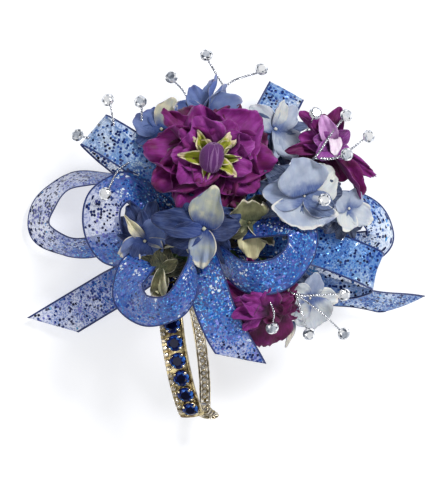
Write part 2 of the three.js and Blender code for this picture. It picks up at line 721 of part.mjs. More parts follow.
const stationShares = {
  bow_loop_upper_left: [
    [besideTie(-1, 0.4), 0, gatheredShare],
    [[-0.26, 0.2, 0.58], 20, 0.8],
    [[-0.4, 0.38, 0.6], 5, 1],
    [[-0.56, 0.49, 0.57], 0, 1, 50],
    [[-0.64, 0.53, 0.47], 0, 1, 50],
    [[-0.56, 0.45, 0.37], 0, 1, 50],
    [[-0.4, 0.3, 0.38], 0, 0.9, 50],
    [besideTie(-1, -0.1), 0, gatheredShare],
  ],
  bow_loop_left: [
    [besideTie(-1, -0.35), 0, gatheredShare],
    [[-0.36, 0.16, 0.3], 30, 0.7],
    [[-0.56, 0.29, 0.22], 50, 1],
    [[-0.74, 0.27, 0.15], 50, 1],
    [[-0.86, 0.16, 0.11], 45, 1],
    [[-0.86, 0.03, 0.11], 45, 1],
    [[-0.74, -0.05, 0.15], 55, 1],
    [[-0.5, -0.03, 0.22], 50, 0.9],
    [besideTie(-1, -0.85), 0, gatheredShare],
  ],
  bow_loop_middle_left: [
    [besideTie(-1, 0.65), 0, gatheredShare],
    [[-0.3, 0.13, 0.66], 30, 0.8],
    [[-0.46, 0.25, 0.72], 40, 1],
    [[-0.58, 0.18, 0.76], 20, 1],
    [[-0.59, 0.04, 0.76], 10, 1],
    [[-0.53, -0.07, 0.68], 30, 1],
    [[-0.38, -0.08, 0.58], 40, 0.8],
    [besideTie(-1, 0.15), 0, gatheredShare],
  ],
  bow_loop_lower_left: [
    [besideTie(-1, 0.88), 0, gatheredShare],
    [[-0.3, -0.07, 0.76], 30, 0.7],
    [[-0.42, -0.14, 0.96], 35, 1],
    [[-0.46, -0.27, 1.12], 30, 1],
    [[-0.38, -0.36, 1.2], 40, 1],
    [[-0.24, -0.34, 1.26], 45, 1],
    [[-0.15, -0.2, 1.22], 60, 0.9],
    [[-0.15, -0.08, 0.96], 80, 0.6],
    [onTie(-0.45), 90, gatheredShare],
  ],
  bow_loop_ring: [
    [onTie(0.45), 90, gatheredShare],
    [[-0.04, -0.08, 0.9], 60, 0.8],
    [[0.12, -0.2, 1.06], 35, 1],
    [[0.28, -0.18, 1.08], 30, 1],
    [[0.39, -0.06, 1.06], 40, 1],
    [[0.38, 0.06, 1.04], 50, 1],
    [[0.27, 0.12, 1.02], 55, 1],
    [[0.1, 0.09, 0.9], 50, 0.8],
    [besideTie(1, 0.8), 0, gatheredShare],
  ],
  bow_loop_right: [
    [besideTie(1, 0.3), 0, gatheredShare],
    [[0.12, 0.06, 0.48], -20, 0.8],
    [[0.42, 0.15, 0.46], -40, 1],
    [[0.66, 0.16, 0.4], -50, 1],
    [[0.77, 0.08, 0.34], -50, 1],
    [[0.78, -0.01, 0.32], -50, 1],
    [[0.68, -0.06, 0.32], -50, 1],
    [[0.36, -0.03, 0.4], -40, 0.8],
    [besideTie(1, 0.05), 0, gatheredShare],
  ],
  bow_loop_lower_right: [
    [besideTie(1, 0.55), 0, gatheredShare],
    [[0.16, -0.02, 0.64], 5, 0.8],
    [[0.43, -0.04, 0.66], 0, 1],
    [[0.64, -0.11, 0.6], 0, 1],
    [[0.76, -0.17, 0.48], 0, 1, 75],
    [[0.7, -0.2, 0.34], 0, 1, 75],
    [[0.56, -0.21, 0.26], 0, 1, 75],
    [[0.26, -0.12, 0.32], 0, 0.9, 75],
    [besideTie(1, -0.2), 0, gatheredShare],
  ],
  bow_loop_top: [
    [besideTie(1, -0.45), 0, gatheredShare],
    [[0.04, 0.1, 0.32], 0, 0.7],
    [[0.13, 0.36, 0.34], 0, 1, -29],
    [[0.25, 0.6, 0.36], 0, 1, -29],
    [[0.32, 0.73, 0.22], 0, 1, -29],
    [[0.28, 0.65, 0.06], 0, 1, -29],
    [[0.2, 0.48, 0.005], 0, 1, -29],
    [[0.1, 0.2, 0.1], 0, 0.9, -29],
    [besideTie(1, -0.95), 0, gatheredShare],
  ],
  bow_tail_left: [
    [besideTie(-1, -0.6), 0, gatheredShare],
    [[-0.36, -0.14, 0.36], 20, 0.9],
    [[-0.55, -0.26, 0.2], 10, 1],
    [[-0.7, -0.35, 0.06], 0, 1],
    [[-0.85, -0.44, 0.025], 0, 1],
  ],
  bow_tail_bottom: [
    [onTie(0), 90, gatheredShare],
    [[-0.1, -0.1, 0.96], 30, 0.8],
    [[-0.07, -0.25, 1.04], 0, 1],
    [[-0.01, -0.42, 0.94], 0, 1],
    [[0.09, -0.6, 0.8], 0, 1],
  ],
  bow_tail_right: [
    [besideTie(1, -0.7), 0, gatheredShare],
    [[0.3, -0.2, 0.14], 20, 0.9],
    [[0.6, -0.29, 0.12], 40, 1],
    [[0.76, -0.32, 0.125], 45, 1],
    [[0.91, -0.34, 0.125], 50, 1],
  ],
};

const placeOf = (stop) => (stop.isVector3 ? stop : spot(stop));

// The side of each tail that is the longer one: 1 left of its run, -1 right of it
const tailSides = { bow_tail_left: -1, bow_tail_bottom: 1, bow_tail_right: 1 };

// The directions that the width runs in at a strip's stations
function stationsAcross(stations, curve) {
  const all = [];
  stations.forEach(([, leanDegrees, , runDegrees], i) => {
    const along = curve.getTangent(i / (stations.length - 1));
    const side = new THREE.Vector3().crossVectors(up, along).normalize();
    if (runDegrees !== undefined) {
      const run = THREE.MathUtils.degToRad(runDegrees);
      side.set(Math.cos(run), Math.sin(run), 0);
    } else {
      const lean = THREE.MathUtils.degToRad(leanDegrees);
      const high = new THREE.Vector3().crossVectors(along, side);
      side.multiplyScalar(Math.cos(lean)).addScaledVector(high, Math.sin(lean));
    }
    if (i > 0 && side.dot(all[i - 1]) < 0) side.negate();
    all.push(side);
  });
  return all;
}

// One edge of a tail runs on past the other: the left one for a slant over zero
function ribbonStrip(stations, slant, grow) {
  const curve = new THREE.CatmullRomCurve3(stations.map(([stop]) => placeOf(stop)));
  const acrossAt = stationsAcross(stations, curve);
  const spans = stations.length - 1;
  const corners = [[-1, -1], [1, -1], [1, 1], [-1, 1]];
  const rings = [];
  const middles = [];
  for (let i = 0; i <= spans * stepsPerStation; i++) {
    const t = i / (spans * stepsPerStation);
    const first = Math.min(Math.floor(t * spans), spans - 1);
    const between = t * spans - first;
    const along = curve.getTangent(t);
    const across = acrossAt[first].clone().lerp(acrossAt[first + 1], between);
    across.addScaledVector(along, -across.dot(along)).normalize();
    const through = new THREE.Vector3().crossVectors(along, across);
    const widthShare = THREE.MathUtils.lerp(stations[first][2], stations[first + 1][2], between);
    const halfWidth = (ribbonWidth * widthShare) / 2 + grow;
    const half = ribbonThickness / 2 + grow;
    const lead = (slant / 2) * Math.max(0, 1 - (1 - t) * spans);
    const point = curve.getPoint(t);
    if (i === 0) point.addScaledVector(along, -grow);
    if (t === 1) point.addScaledVector(along, grow);
    middles.push(point);
    rings.push(corners.map(([a, b]) => point.clone()
      .addScaledVector(along, a * lead)
      .addScaledVector(across, a * halfWidth)
      .addScaledVector(through, b * half)));
  }
  const isOtherFace = (ring, i) => i >= corners.length / 2;
  return toSolid(skin(middles[0], rings, middles[middles.length - 1], isOtherFace));
}

const bow = new THREE.Group();
corsage.add(bow);
for (const [name, stations] of Object.entries(stationShares)) {
  const slant = tailSlant * (tailSides[name] ?? 0);
  addPiece(bow, name, materials.ribbon, (grow) => ribbonStrip(stations, slant, grow));
}

// The origin lies under the middle of the corsage, on the table
const box = new THREE.Box3().setFromObject(corsage, true);
corsage.position.set(-(box.min.x + box.max.x) / 2, -(box.min.y + box.max.y) / 2, -box.min.z);
corsage.updateMatrixWorld(true);

export default corsage;
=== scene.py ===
"""Looks of a wrist corsage that lies on its back.

A bow of sheer glitter ribbon, purple stock blooms, blue hydrangea florets, sprays of wired
crystals and an open cuff of set stones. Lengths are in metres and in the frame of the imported
model: X along the bow, Y from the cuff's open end to the top of the flowers, Z up from the table.
"""

from __future__ import annotations

import logging
import math
from dataclasses import dataclass, field
from enum import Enum
from typing import Iterable, Sequence, Union

import bmesh
import bpy
import numpy as np
from bpy.types import ID, Material, Mesh, Node, NodeSocket, NodeTree, Object
from mathutils import Matrix, Vector


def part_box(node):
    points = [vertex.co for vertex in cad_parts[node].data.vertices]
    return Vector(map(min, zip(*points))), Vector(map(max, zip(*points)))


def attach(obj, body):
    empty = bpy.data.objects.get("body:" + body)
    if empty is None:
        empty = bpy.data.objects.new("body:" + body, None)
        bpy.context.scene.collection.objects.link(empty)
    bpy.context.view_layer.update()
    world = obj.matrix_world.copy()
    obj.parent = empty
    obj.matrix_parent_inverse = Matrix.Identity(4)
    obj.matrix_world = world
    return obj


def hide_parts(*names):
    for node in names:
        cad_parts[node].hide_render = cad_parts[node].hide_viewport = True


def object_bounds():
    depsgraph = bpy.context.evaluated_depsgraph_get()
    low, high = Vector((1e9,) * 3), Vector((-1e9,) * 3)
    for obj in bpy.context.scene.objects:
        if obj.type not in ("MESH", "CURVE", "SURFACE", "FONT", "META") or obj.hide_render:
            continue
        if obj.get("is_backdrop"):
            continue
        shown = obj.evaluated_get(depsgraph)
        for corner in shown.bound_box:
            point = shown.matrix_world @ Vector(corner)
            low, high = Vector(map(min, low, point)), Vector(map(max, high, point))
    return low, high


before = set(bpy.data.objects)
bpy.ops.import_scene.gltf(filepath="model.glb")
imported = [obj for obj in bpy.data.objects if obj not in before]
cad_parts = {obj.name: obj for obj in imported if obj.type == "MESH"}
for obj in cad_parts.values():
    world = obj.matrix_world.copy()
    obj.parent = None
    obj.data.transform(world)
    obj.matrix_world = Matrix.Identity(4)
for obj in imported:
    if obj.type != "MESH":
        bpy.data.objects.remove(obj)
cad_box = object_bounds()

log = logging.getLogger("corsage")

MM = 0.001
REACH = 81 * MM  # from the crossing point of the bow to the tip of the left loop
HEAP_HEIGHT = 50 * MM  # from the table to the florets that face up
CLEARANCE = 0.3 * MM
RIBBON_WIDTH = 15.9 * MM
CROSSING = Vector((-1.248, -0.756, 0.0)) * MM  # where the places below count from
UP = Vector((0.0, 0.0, 1.0))
SEED = 11  # of all chance differences

Share = Sequence[float]
Stops = Sequence[tuple[float, str]]  # places and colours
Outline = Sequence[Sequence[float]]
Value = Union[float, Sequence[float], str, NodeSocket]
Sockets = dict[str, Value]


class Slot(Enum):
    """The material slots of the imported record."""

    GOLD = "gold"
    SILVER_WIRE = "silver_wire"
    BLUE_STONE = "blue_stone"
    CLEAR_STONE = "clear_stone"
    STEM = "stem"
    RIBBON = "ribbon"
    PURPLE_PETAL = "purple_petal"
    BLUE_PETAL = "blue_petal"
    GREEN_PETAL = "green_petal"


class Body(Enum):
    """The bodies that the pieces ride on."""

    CORSAGE = "corsage"
    NEAR_ARM = "near_arm"
    FAR_ARM = "far_arm"


# Places and curves


def spot(share: Share) -> Vector:
    """Turns shares of the reach and of the heap's height into a point."""
    return CROSSING + Vector((share[0] * REACH, share[1] * REACH, share[2] * HEAP_HEIGHT))


def facing(point: Vector, direction: Vector) -> Matrix:
    """Makes a frame at a point that turns +Z to a direction."""
    turn = UP.rotation_difference(direction)
    return Matrix.Translation(point) @ turn.to_matrix().to_4x4()


def colour(text: str) -> tuple[float, float, float, float]:
    """Turns a screen colour such as "c0d8ff" into linear light with an alpha of one."""
    parts = [int(text[i : i + 2], 16) / 255 for i in (0, 2, 4)]
    return (*[p / 12.92 if p <= 0.04045 else ((p + 0.055) / 1.055) ** 2.4 for p in parts], 1.0)


class SmoothPath:
    """A smooth curve through a list of points, with an even pace between close and far ones."""

    def __init__(self, stops: Iterable[Vector]) -> None:
        """Keeps the points that the curve goes through."""
        self.stops = np.array([tuple(stop) for stop in stops], float)

    def at(self, places: np.ndarray) -> np.ndarray:
        """Finds points of the curve.

        Args:
            places: Shares of the number of spans, from 0 to 1.

        Returns:
            One point a row.
        """
        p = self.stops
        spans = len(p) - 1
        padded = np.vstack([2 * p[0] - p[1], p, 2 * p[-1] - p[-2]])
        scaled = np.clip(places, 0.0, 1.0) * spans
        first = np.minimum(scaled.astype(int), spans - 1)
        w = (scaled - first)[:, None]
        p0, p1, p2, p3 = (padded[first + k] for k in range(4))
        pairs = ((p0, p1), (p1, p2), (p2, p3))
        d0, d1, d2 = (np.sqrt(np.linalg.norm(b - a, axis=1) + 1e-9)[:, None] for a, b in pairs)
        t1 = ((p1 - p0) / d0 - (p2 - p0) / (d0 + d1) + (p2 - p1) / d1) * d1
        t2 = ((p2 - p1) / d1 - (p3 - p1) / (d1 + d2) + (p3 - p2) / d2) * d1
        c2 = -3 * p1 + 3 * p2 - 2 * t1 - t2
        c3 = 2 * p1 - 2 * p2 + t1 + t2
        return p1 + t1 * w + c2 * w**2 + c3 * w**3

    def directions(self, places: np.ndarray) -> np.ndarray:
        """Finds the curve's unit directions at the given places."""
        step = 1e-4
        ahead = self.at(np.minimum(places + step, 1.0)) - self.at(np.maximum(places - step, 0.0))
        return unit(ahead)


def unit(rows: np.ndarray) -> np.ndarray:
    """Scales each row, or each last axis, to a length of one."""
    return rows / np.maximum(np.linalg.norm(rows, axis=-1, keepdims=True), 1e-12)


def smooth_step(value: np.ndarray, low: float, high: float) -> np.ndarray:
    """Rises smoothly from 0 at the low value to 1 at the high one."""
    t = np.clip((value - low) / (high - low), 0.0, 1.0)
    return t * t * (3 - 2 * t)


def carried(points: np.ndarray, place: Matrix) -> np.ndarray:
    """Moves points, one in each last axis, into a frame."""
    return points @ np.array(place.to_3x3()).T + np.array(place.translation)


def ring_of(angle: np.ndarray, x: np.ndarray, y: np.ndarray) -> np.ndarray:
    """Gives the directions at angles round the circle of two axes."""
    return np.cos(angle)[..., None] * x + np.sin(angle)[..., None] * y


def between(places: np.ndarray, known: Sequence[float], rows: np.ndarray) -> np.ndarray:
    """Finds rows at places between those where they are known, along straight lines."""
    return np.stack([np.interp(places, known, rows[:, k]) for k in range(3)], axis=-1)


# Meshes


@dataclass
class Shell:
    """Closed shells that are gathered into one mesh, with a UV map and named values per point."""

    points: list[np.ndarray] = field(default_factory=list)
    faces: list[tuple[int, ...]] = field(default_factory=list)
    values: dict[str, list[np.ndarray]] = field(default_factory=dict)
    count: int = 0

    def add(self, points: np.ndarray, faces: Iterable[Sequence[int]], **values: np.ndarray) -> None:
        """Adds a shell.

        Args:
            points: One point a row.
            faces: Corners of each face, as rows of points.
            values: A value, or one value a point, for each name. The uv has two columns.
        """
        self.faces.extend(tuple(int(i) + self.count for i in face) for face in faces)
        self.points.append(points)
        self.count += len(points)
        for name, value in values.items():
            rows = np.asarray(value, float)
            rows = rows if rows.ndim else np.full(len(points), float(rows))
            self.values.setdefault(name, []).append(rows)

    def add_sheet(self, grid: np.ndarray, thickness: np.ndarray, **values: np.ndarray) -> None:
        """Adds a thin sheet with two faces and a rim all round.

        Args:
            grid: Points in rows and columns.
            thickness: The thickness at each point of the grid.
            values: Values at each point of the grid, which both faces share.
        """
        rows, columns = grid.shape[:2]
        count = rows * columns
        normal = unit(np.cross(np.gradient(grid, axis=0), np.gradient(grid, axis=1)))
        half = normal * thickness[..., None] / 2
        points = np.concatenate([(grid + half).reshape(-1, 3), (grid - half).reshape(-1, 3)])
        index = np.arange(count).reshape(rows, columns)
        corners = (index[:-1, :-1], index[1:, :-1], index[1:, 1:], index[:-1, 1:])
        top = np.stack(corners, axis=-1).reshape(-1, 4)
        rim = np.concatenate([index[:, 0], index[-1, 1:], index[-2::-1, -1], index[0, -2:0:-1]])
        following = np.roll(rim, -1)
        side = np.stack([following, rim, rim + count, following + count], axis=-1)
        both = {}
        for name, value in values.items():
            one = np.asarray(value, float)
            one = one.reshape(count, -1) if one.ndim >= 2 else np.full((count, 1), one)
            both[name] = np.concatenate([one, one]).squeeze()
        both["under"] = np.repeat([0.0, 1.0], count)
        self.add(points, np.concatenate([top, top[:, ::-1] + count, side]), **both)

    def add_tube(self, rings: np.ndarray, **values: np.ndarray) -> None:
        """Adds a closed tube through rings of points, with flat ends.

        Args:
            rings: Points by ring and corner.
            values: A value for the whole tube for each name.
        """
        count, corners = rings.shape[:2]
        index = np.arange(count * corners).reshape(count, corners)
        a, b = index[:-1], index[1:]
        faces = np.stack([a, np.roll(a, -1, 1), np.roll(b, -1, 1), b], axis=-1).reshape(-1, 4)
        ends = [tuple(index[0][::-1]), tuple(index[-1])]
        self.add(rings.reshape(-1, 3), [*map(tuple, faces), *ends], **values)

    def make(self, name: str, material: Material) -> Object:
        """Makes the mesh and its object.

        Args:
            name: The name of the object.
            material: The finish of the whole mesh.

        Returns:
            The new object, at the origin.
        """
        mesh = bpy.data.meshes.new(name)
        mesh.from_pydata(np.concatenate(self.points).tolist(), [], self.faces)
        corners = np.zeros(len(mesh.loops), int)
        mesh.loops.foreach_get("vertex_index", corners)
        for key, parts in self.values.items():
            rows = np.concatenate(parts)
            if key == "uv":
                mesh.uv_layers.new(name="uv").data.foreach_set("uv", rows[corners].ravel())
            else:
                mesh.attributes.new(key, "FLOAT", "POINT").data.foreach_set("value", rows)
        mesh.shade_smooth()
        turn_outwards(mesh)
        mesh.materials.append(material)
        return place_in_scene(name, mesh)

    def build(
        self, name: str, material: Material, slot: Slot, *nodes: str, body: Body = Body.CORSAGE
    ) -> Object:
        """Makes the piece and says what it rides on and stands for."""
        return finish_piece(self.make(name, material), slot, *nodes, body=body)


def turn_outwards(mesh: Mesh) -> None:
    """Turns the faces of each closed shell outwards."""
    work = bmesh.new()
    work.from_mesh(mesh)
    bmesh.ops.recalc_face_normals(work, faces=work.faces)
    work.to_mesh(mesh)
    work.free()


def place_in_scene(name: str, data: ID) -> Object:
    """Makes an object for a mesh, curve, light or camera and links it to the scene."""
    made = bpy.data.objects.new(name, data)
    bpy.context.scene.collection.objects.link(made)
    return made


def finish_piece(piece: Object, slot: Slot, *nodes: str, body: Body = Body.CORSAGE) -> Object:
    """Hangs a finished piece on the body that carries it and hides the solids that it stands for.

    Args:
        piece: The finished object.
        slot: Not used.
        nodes: The solids that it stands for.
        body: The body that carries it.

    Returns:
        The same object.
    """
    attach(piece, body.value)
    if nodes:
        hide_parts(*nodes)
    log.info("%s: %d faces, on %s", piece.name, len(piece.data.polygons), body.value)
    return piece


# Node trees


class Graph:
    """Adds nodes to a tree and joins them."""

    def __init__(self, tree: NodeTree) -> None:
        """Starts with an empty tree."""
        self.tree = tree
        tree.nodes.clear()

    def add(
        self, kind: str, feeds: dict[int | str, Value] | None = None, **settings: object
    ) -> Node:
        """Adds a node.

        Args:
            kind: The node's type name.
            feeds: A fixed value or another node's output for each input.
            settings: Properties of the node.

        Returns:
            The node.
        """
        node = self.tree.nodes.new(kind)
        for name, value in settings.items():
            setattr(node, name, value)
        for name, value in (feeds or {}).items():
            self.feed(node.inputs[name], value)
        return node

    def feed(self, socket: NodeSocket, value: Value) -> None:
        """Sets an input, or joins it to an output."""
        if isinstance(value, NodeSocket):
            self.tree.links.new(value, socket)
        else:
            socket.default_value = value

    def maths(self, operation: str, a: Value, b: Value = 0.0, c: Value = 0.0) -> NodeSocket:
        """Joins numbers by a sum, a product or the like."""
        return self.add("ShaderNodeMath", {0: a, 1: b, 2: c}, operation=operation).outputs[0]

    def times(self, a: Value, b: Value) -> NodeSocket:
        """Multiplies two numbers."""
        return self.maths("MULTIPLY", a, b)

    def times_plus(self, a: Value, b: Value, c: Value) -> NodeSocket:
        """Multiplies two numbers and adds a third."""
        return self.maths("MULTIPLY_ADD", a, b, c)

    def vector(self, operation: str, a: Value, b: Value = (0, 0, 0)) -> NodeSocket:
        """Joins vectors by a sum, a product or the like."""
        return self.add("ShaderNodeVectorMath", {0: a, 1: b}, operation=operation).outputs[0]

    def scaled(self, vector: Value, factor: Value) -> NodeSocket:
        """Multiplies a vector by a number."""
        feeds = {0: vector, "Scale": factor}
        return self.add("ShaderNodeVectorMath", feeds, operation="SCALE").outputs[0]

    def ramp(self, value: Value, low: float, high: float) -> NodeSocket:
        """Rises smoothly from 0 to 1 between a low and a high value."""
        feeds = {0: value, 1: low, 2: high}
        return self.add("ShaderNodeMapRange", feeds, interpolation_type="SMOOTHSTEP").outputs[0]

    def mix(self, factor: Value, a: Value, b: Value) -> NodeSocket:
        """Mixes two colours."""
        return self.add("ShaderNodeMix", {0: factor, 6: a, 7: b}, data_type="RGBA").outputs[2]

    def blend(self, factor: Value, a: Value, b: Value) -> NodeSocket:
        """Mixes two numbers."""
        return self.add("ShaderNodeMix", {0: factor, 2: a, 3: b}, data_type="FLOAT").outputs[0]

    def value_of(self, name: str) -> NodeSocket:
        """Reads a value that the mesh carries at each point or face."""
        return self.add("ShaderNodeAttribute", attribute_name=name).outputs["Fac"]

    def object_place(self) -> NodeSocket:
        """Gives the place on the object in metres."""
        return self.add("ShaderNodeTexCoord").outputs["Object"]

    def uv_place(self) -> NodeSocket:
        """Gives the place on the piece's own UV map."""
        return self.add("ShaderNodeUVMap", uv_map="uv").outputs[0]

    def channel(self, value: Value, index: int) -> NodeSocket:
        """Takes the red, green or blue of a colour."""
        return self.add("ShaderNodeSeparateColor", {0: value}).outputs[index]

    def noise(
        self, vector: Value, scale: float, detail: float = 2.0, roughness: float = 0.5, output: int = 0
    ) -> NodeSocket:
        """Adds a noise pattern, as numbers or, from its second output, as colours."""
        feeds = {"Vector": vector, "Scale": scale, "Detail": detail, "Roughness": roughness}
        return self.add("ShaderNodeTexNoise", feeds).outputs[output]

    def bump(self, height: Value, strength: float, distance: float) -> NodeSocket:
        """Turns a height pattern into small slopes."""
        feeds = {"Strength": strength, "Distance": distance, "Height": height}
        return self.add("ShaderNodeBump", feeds).outputs[0]

    def stops(self, value: Value, colours: Stops) -> NodeSocket:
        """Turns a number into a colour through a list of stops."""
        node = self.add("ShaderNodeValToRGB", {0: value})
        elements = node.color_ramp.elements
        for element, (place, text) in zip(elements, (colours[0], colours[-1])):
            element.position, element.color = place, colour(text)
        for place, text in colours[1:-1]:
            elements.new(place).color = colour(text)
        return node.outputs[0]

    def surface(self, feeds: Sockets) -> None:
        """Ends the tree with a principled shader."""
        shader = self.add("ShaderNodeBsdfPrincipled", feeds)
        end = self.add("ShaderNodeOutputMaterial")
        self.tree.links.new(shader.outputs[0], end.inputs[0])


class GeometryTree:
    """A node tree with named inputs that turns one object into a plain mesh."""

    def __init__(self, name: str, inputs: dict[str, str]) -> None:
        """Makes the tree.

        Args:
            name: The tree's name.
            inputs: The kind of socket for each named input.
        """
        self.tree = bpy.data.node_groups.new(name, "GeometryNodeTree")
        self.graph = Graph(self.tree)
        face = self.tree.interface
        self.keys = {}
        face.new_socket("Geometry", in_out="INPUT", socket_type="NodeSocketGeometry")
        for label, kind in inputs.items():
            self.keys[label] = face.new_socket(label, in_out="INPUT", socket_type=kind).identifier
        face.new_socket("Geometry", in_out="OUTPUT", socket_type="NodeSocketGeometry")
        self.inputs = self.graph.add("NodeGroupInput").outputs

    def close(self, geometry: NodeSocket) -> None:
        """Ends the tree with realized instances and one material."""
        real = self.graph.add("GeometryNodeRealizeInstances", {0: geometry}).outputs[0]
        feeds = {"Geometry": real, "Material": self.inputs["Material"]}
        dressed = self.graph.add("GeometryNodeSetMaterial", feeds).outputs[0]
        self.graph.add("NodeGroupOutput", {0: dressed})

    def run(self, source: Object, name: str, **values: object) -> Object:
        """Runs the tree on an object and keeps the result as a plain mesh.

        Args:
            source: The object that the tree starts from. It is deleted.
            name: The name of the new object.
            values: A value for each named input.

        Returns:
            The new object, at the origin.
        """
        modifier = source.modifiers.new("make", "NODES")
        modifier.node_group = self.tree
        for label, value in values.items():
            modifier[self.keys[label]] = value
        graph = bpy.context.evaluated_depsgraph_get()
        mesh = bpy.data.meshes.new_from_object(source.evaluated_get(graph))
        source.modifiers.remove(modifier)
        bpy.data.objects.remove(source)
        mesh.name = name
        return place_in_scene(name, mesh)


def strand_tree() -> GeometryTree:
    """Makes the tree that twists strands along a curve's splines."""
    kinds = {"Strands": "NodeSocketInt", "Material": "NodeSocketMaterial"}
    kinds |= dict.fromkeys(("Radius", "Offset", "Pitch", "Step"), "NodeSocketFloat")
    made = GeometryTree("twisted_strands", kinds)
    g, inputs = made.graph, made.inputs
    feeds = {"Curve": inputs["Geometry"], "Length": inputs["Step"]}
    fine = g.add("GeometryNodeResampleCurve", feeds, mode="LENGTH").outputs[0]
    feeds = {"Geometry": fine, "Amount": inputs["Strands"]}
    copies = g.add("GeometryNodeDuplicateElements", feeds, domain="SPLINE")
    phase = g.maths("DIVIDE", copies.outputs["Duplicate Index"], inputs["Strands"])
    length = g.add("GeometryNodeSplineParameter").outputs["Length"]
    turns = g.maths("ADD", g.maths("DIVIDE", length, inputs["Pitch"]), phase)
    angle = g.times(turns, 2 * math.pi)
    normal = g.add("GeometryNodeInputNormal").outputs[0]
    tangent = g.add("GeometryNodeInputTangent").outputs[0]
    other = g.vector("CROSS_PRODUCT", tangent, normal)
    cosine, sine = g.maths("COSINE", angle), g.maths("SINE", angle)
    swing = g.vector("ADD", g.scaled(normal, cosine), g.scaled(other, sine))
    feeds = {"Geometry": copies.outputs[0], "Offset": g.scaled(swing, inputs["Offset"])}
    twisted = g.add("GeometryNodeSetPosition", feeds).outputs[0]
    section = g.add("GeometryNodeCurvePrimitiveCircle", {"Resolution": 6, "Radius": inputs["Radius"]})
    feeds = {"Curve": twisted, "Profile Curve": section.outputs[0], "Fill Caps": True}
    made.close(g.add("GeometryNodeCurveToMesh", feeds).outputs[0])
    return made


def setting_tree() -> GeometryTree:
    """Makes the tree that sets a copy of an object on each point, turned and sized by the point."""
    kinds = {"Piece": "NodeSocketObject", "Material": "NodeSocketMaterial"}
    made = GeometryTree("set_on_points", kinds)
    g, inputs = made.graph, made.inputs
    info = g.add("GeometryNodeObjectInfo", {"Object": inputs["Piece"]}, transform_space="ORIGINAL")
    turn = g.add("GeometryNodeInputNamedAttribute", {"Name": "turn"}, data_type="FLOAT_VECTOR")
    feeds = {
        "Points": inputs["Geometry"],
        "Instance": info.outputs["Geometry"],
        "Rotation": g.add("FunctionNodeEulerToRotation", {0: turn.outputs[0]}).outputs[0],
    }
    made.close(g.add("GeometryNodeInstanceOnPoints", feeds).outputs[0])
    return made


# Finishes


@dataclass(frozen=True)
class Finish:
    """A material whose node tree ends in a principled shader."""

    name: str

    def paint(self, g: Graph) -> Sockets:
        """Adds the nodes, and gives what goes into the shader's sockets."""
        raise NotImplementedError

    def material(self) -> Material:
        """Builds the material."""
        material = bpy.data.materials.new(self.name)
        material.use_nodes = True
        g = Graph(material.node_tree)
        g.surface(self.paint(g))
        return material


@dataclass(frozen=True)
class PetalFinish(Finish):
    """A thin petal: its colour runs from the base to the rim and changes with the petal's tone."""

    tones: Stops  # the body's colours, from the deepest tone to the palest
    deep_base_and_shade: str
    rim: str
    # the colour of the petal's back, deeper than its face: painted shade
    under: str
    vein: str
    deep_base_and_shade_end: float = 0.3
    rim_start: float = 0.86
    rim_share: float = 0.8
    vein_depth: float = 0.25
    mottling: float = 0.6
    crumple: float = 0.12 * MM

    def paint(self, g: Graph) -> Sockets:
        """Lays veins, a worn rim and a crumpled grain over the petal's tone, darkens its base, partly
        as painted shade, and darkens its back as painted shade.
        """
        place = g.object_place()
        uv = g.uv_place()
        along = g.add("ShaderNodeSeparateXYZ", {0: uv}).outputs[0]
        mottle = g.noise(place, 240.0, 3.0)
        fine = g.noise(g.vector("MULTIPLY", uv, (3.0, 30.0, 1.0)), 1.0, 3.0, 0.6)
        veins = g.ramp(fine, 0.42, 0.62)
        cloud = g.maths("SUBTRACT", mottle, 0.5)
        tone = g.times_plus(cloud, self.mottling, g.value_of("tone"))
        petal = g.stops(tone, self.tones)
        near = g.times_plus(cloud, 0.4, along)
        # Darker towards the base: partly the petal's own deeper base, partly painted shade where the
        # petals meet.
        petal = g.mix(g.ramp(near, self.deep_base_and_shade_end, 0.02), petal, colour(self.deep_base_and_shade))
        petal = g.mix(g.times(veins, self.vein_depth), petal, colour(self.vein))
        worn = g.times_plus(cloud, 0.35, g.value_of("rim"))
        rim = g.times(g.ramp(worn, self.rim_start, self.rim_start + 0.12), self.rim_share)
        petal = g.mix(rim, petal, colour(self.rim))
        # The back of each petal is mixed towards the deeper under colour: painted shade.
        petal = g.mix(g.times(g.value_of("under"), 0.75), petal, colour(self.under))
        grain = g.noise(place, 1400.0, 2.0)
        height = g.times_plus(grain, 0.35, veins)
        return {
            "Base Color": petal, "Roughness": g.blend(mottle, 0.5, 0.72), "Subsurface Weight": 0.15,
            "Subsurface Radius": (1.0, 0.6, 0.8), "Subsurface Scale": 1.0 * MM, "Sheen Weight": 0.15,
            "Sheen Roughness": 0.4, "Specular IOR Level": 0.35,
            "Normal": g.bump(height, 0.5, self.crumple),
        }


@dataclass(frozen=True)
class Flakes:
    """One size of glitter flake, scattered over the cloth."""

    pitch: float  # from flake to flake
    size: float  # the radius of a flake as a share of the pitch
    cover: float  # the share of the places that hold a flake
    shift: tuple[float, float, float]

    def scatter(self, g: Graph, uv: Value) -> tuple[NodeSocket, NodeSocket]:
        """Scatters the flakes.

        Args:
            g: The finish's tree.
            uv: The place on the cloth, in widths of the ribbon.

        Returns:
            Where the flakes are, and a random colour for each.
        """
        bend = g.noise(uv, 34.0, 1.0, output=1)
        bent = g.vector("ADD", g.scaled(bend, 0.035), g.vector("ADD", uv, self.shift))
        feeds = {"Vector": bent, "Scale": RIBBON_WIDTH / self.pitch}
        cells = g.add("ShaderNodeTexVoronoi", feeds, voronoi_dimensions="2D").outputs
        hue = cells["Color"]
        disc = g.ramp(cells["Distance"], self.size * 1.1, self.size * 0.9)
        return g.times(disc, g.maths("LESS_THAN", g.channel(hue, 0), self.cover)), hue


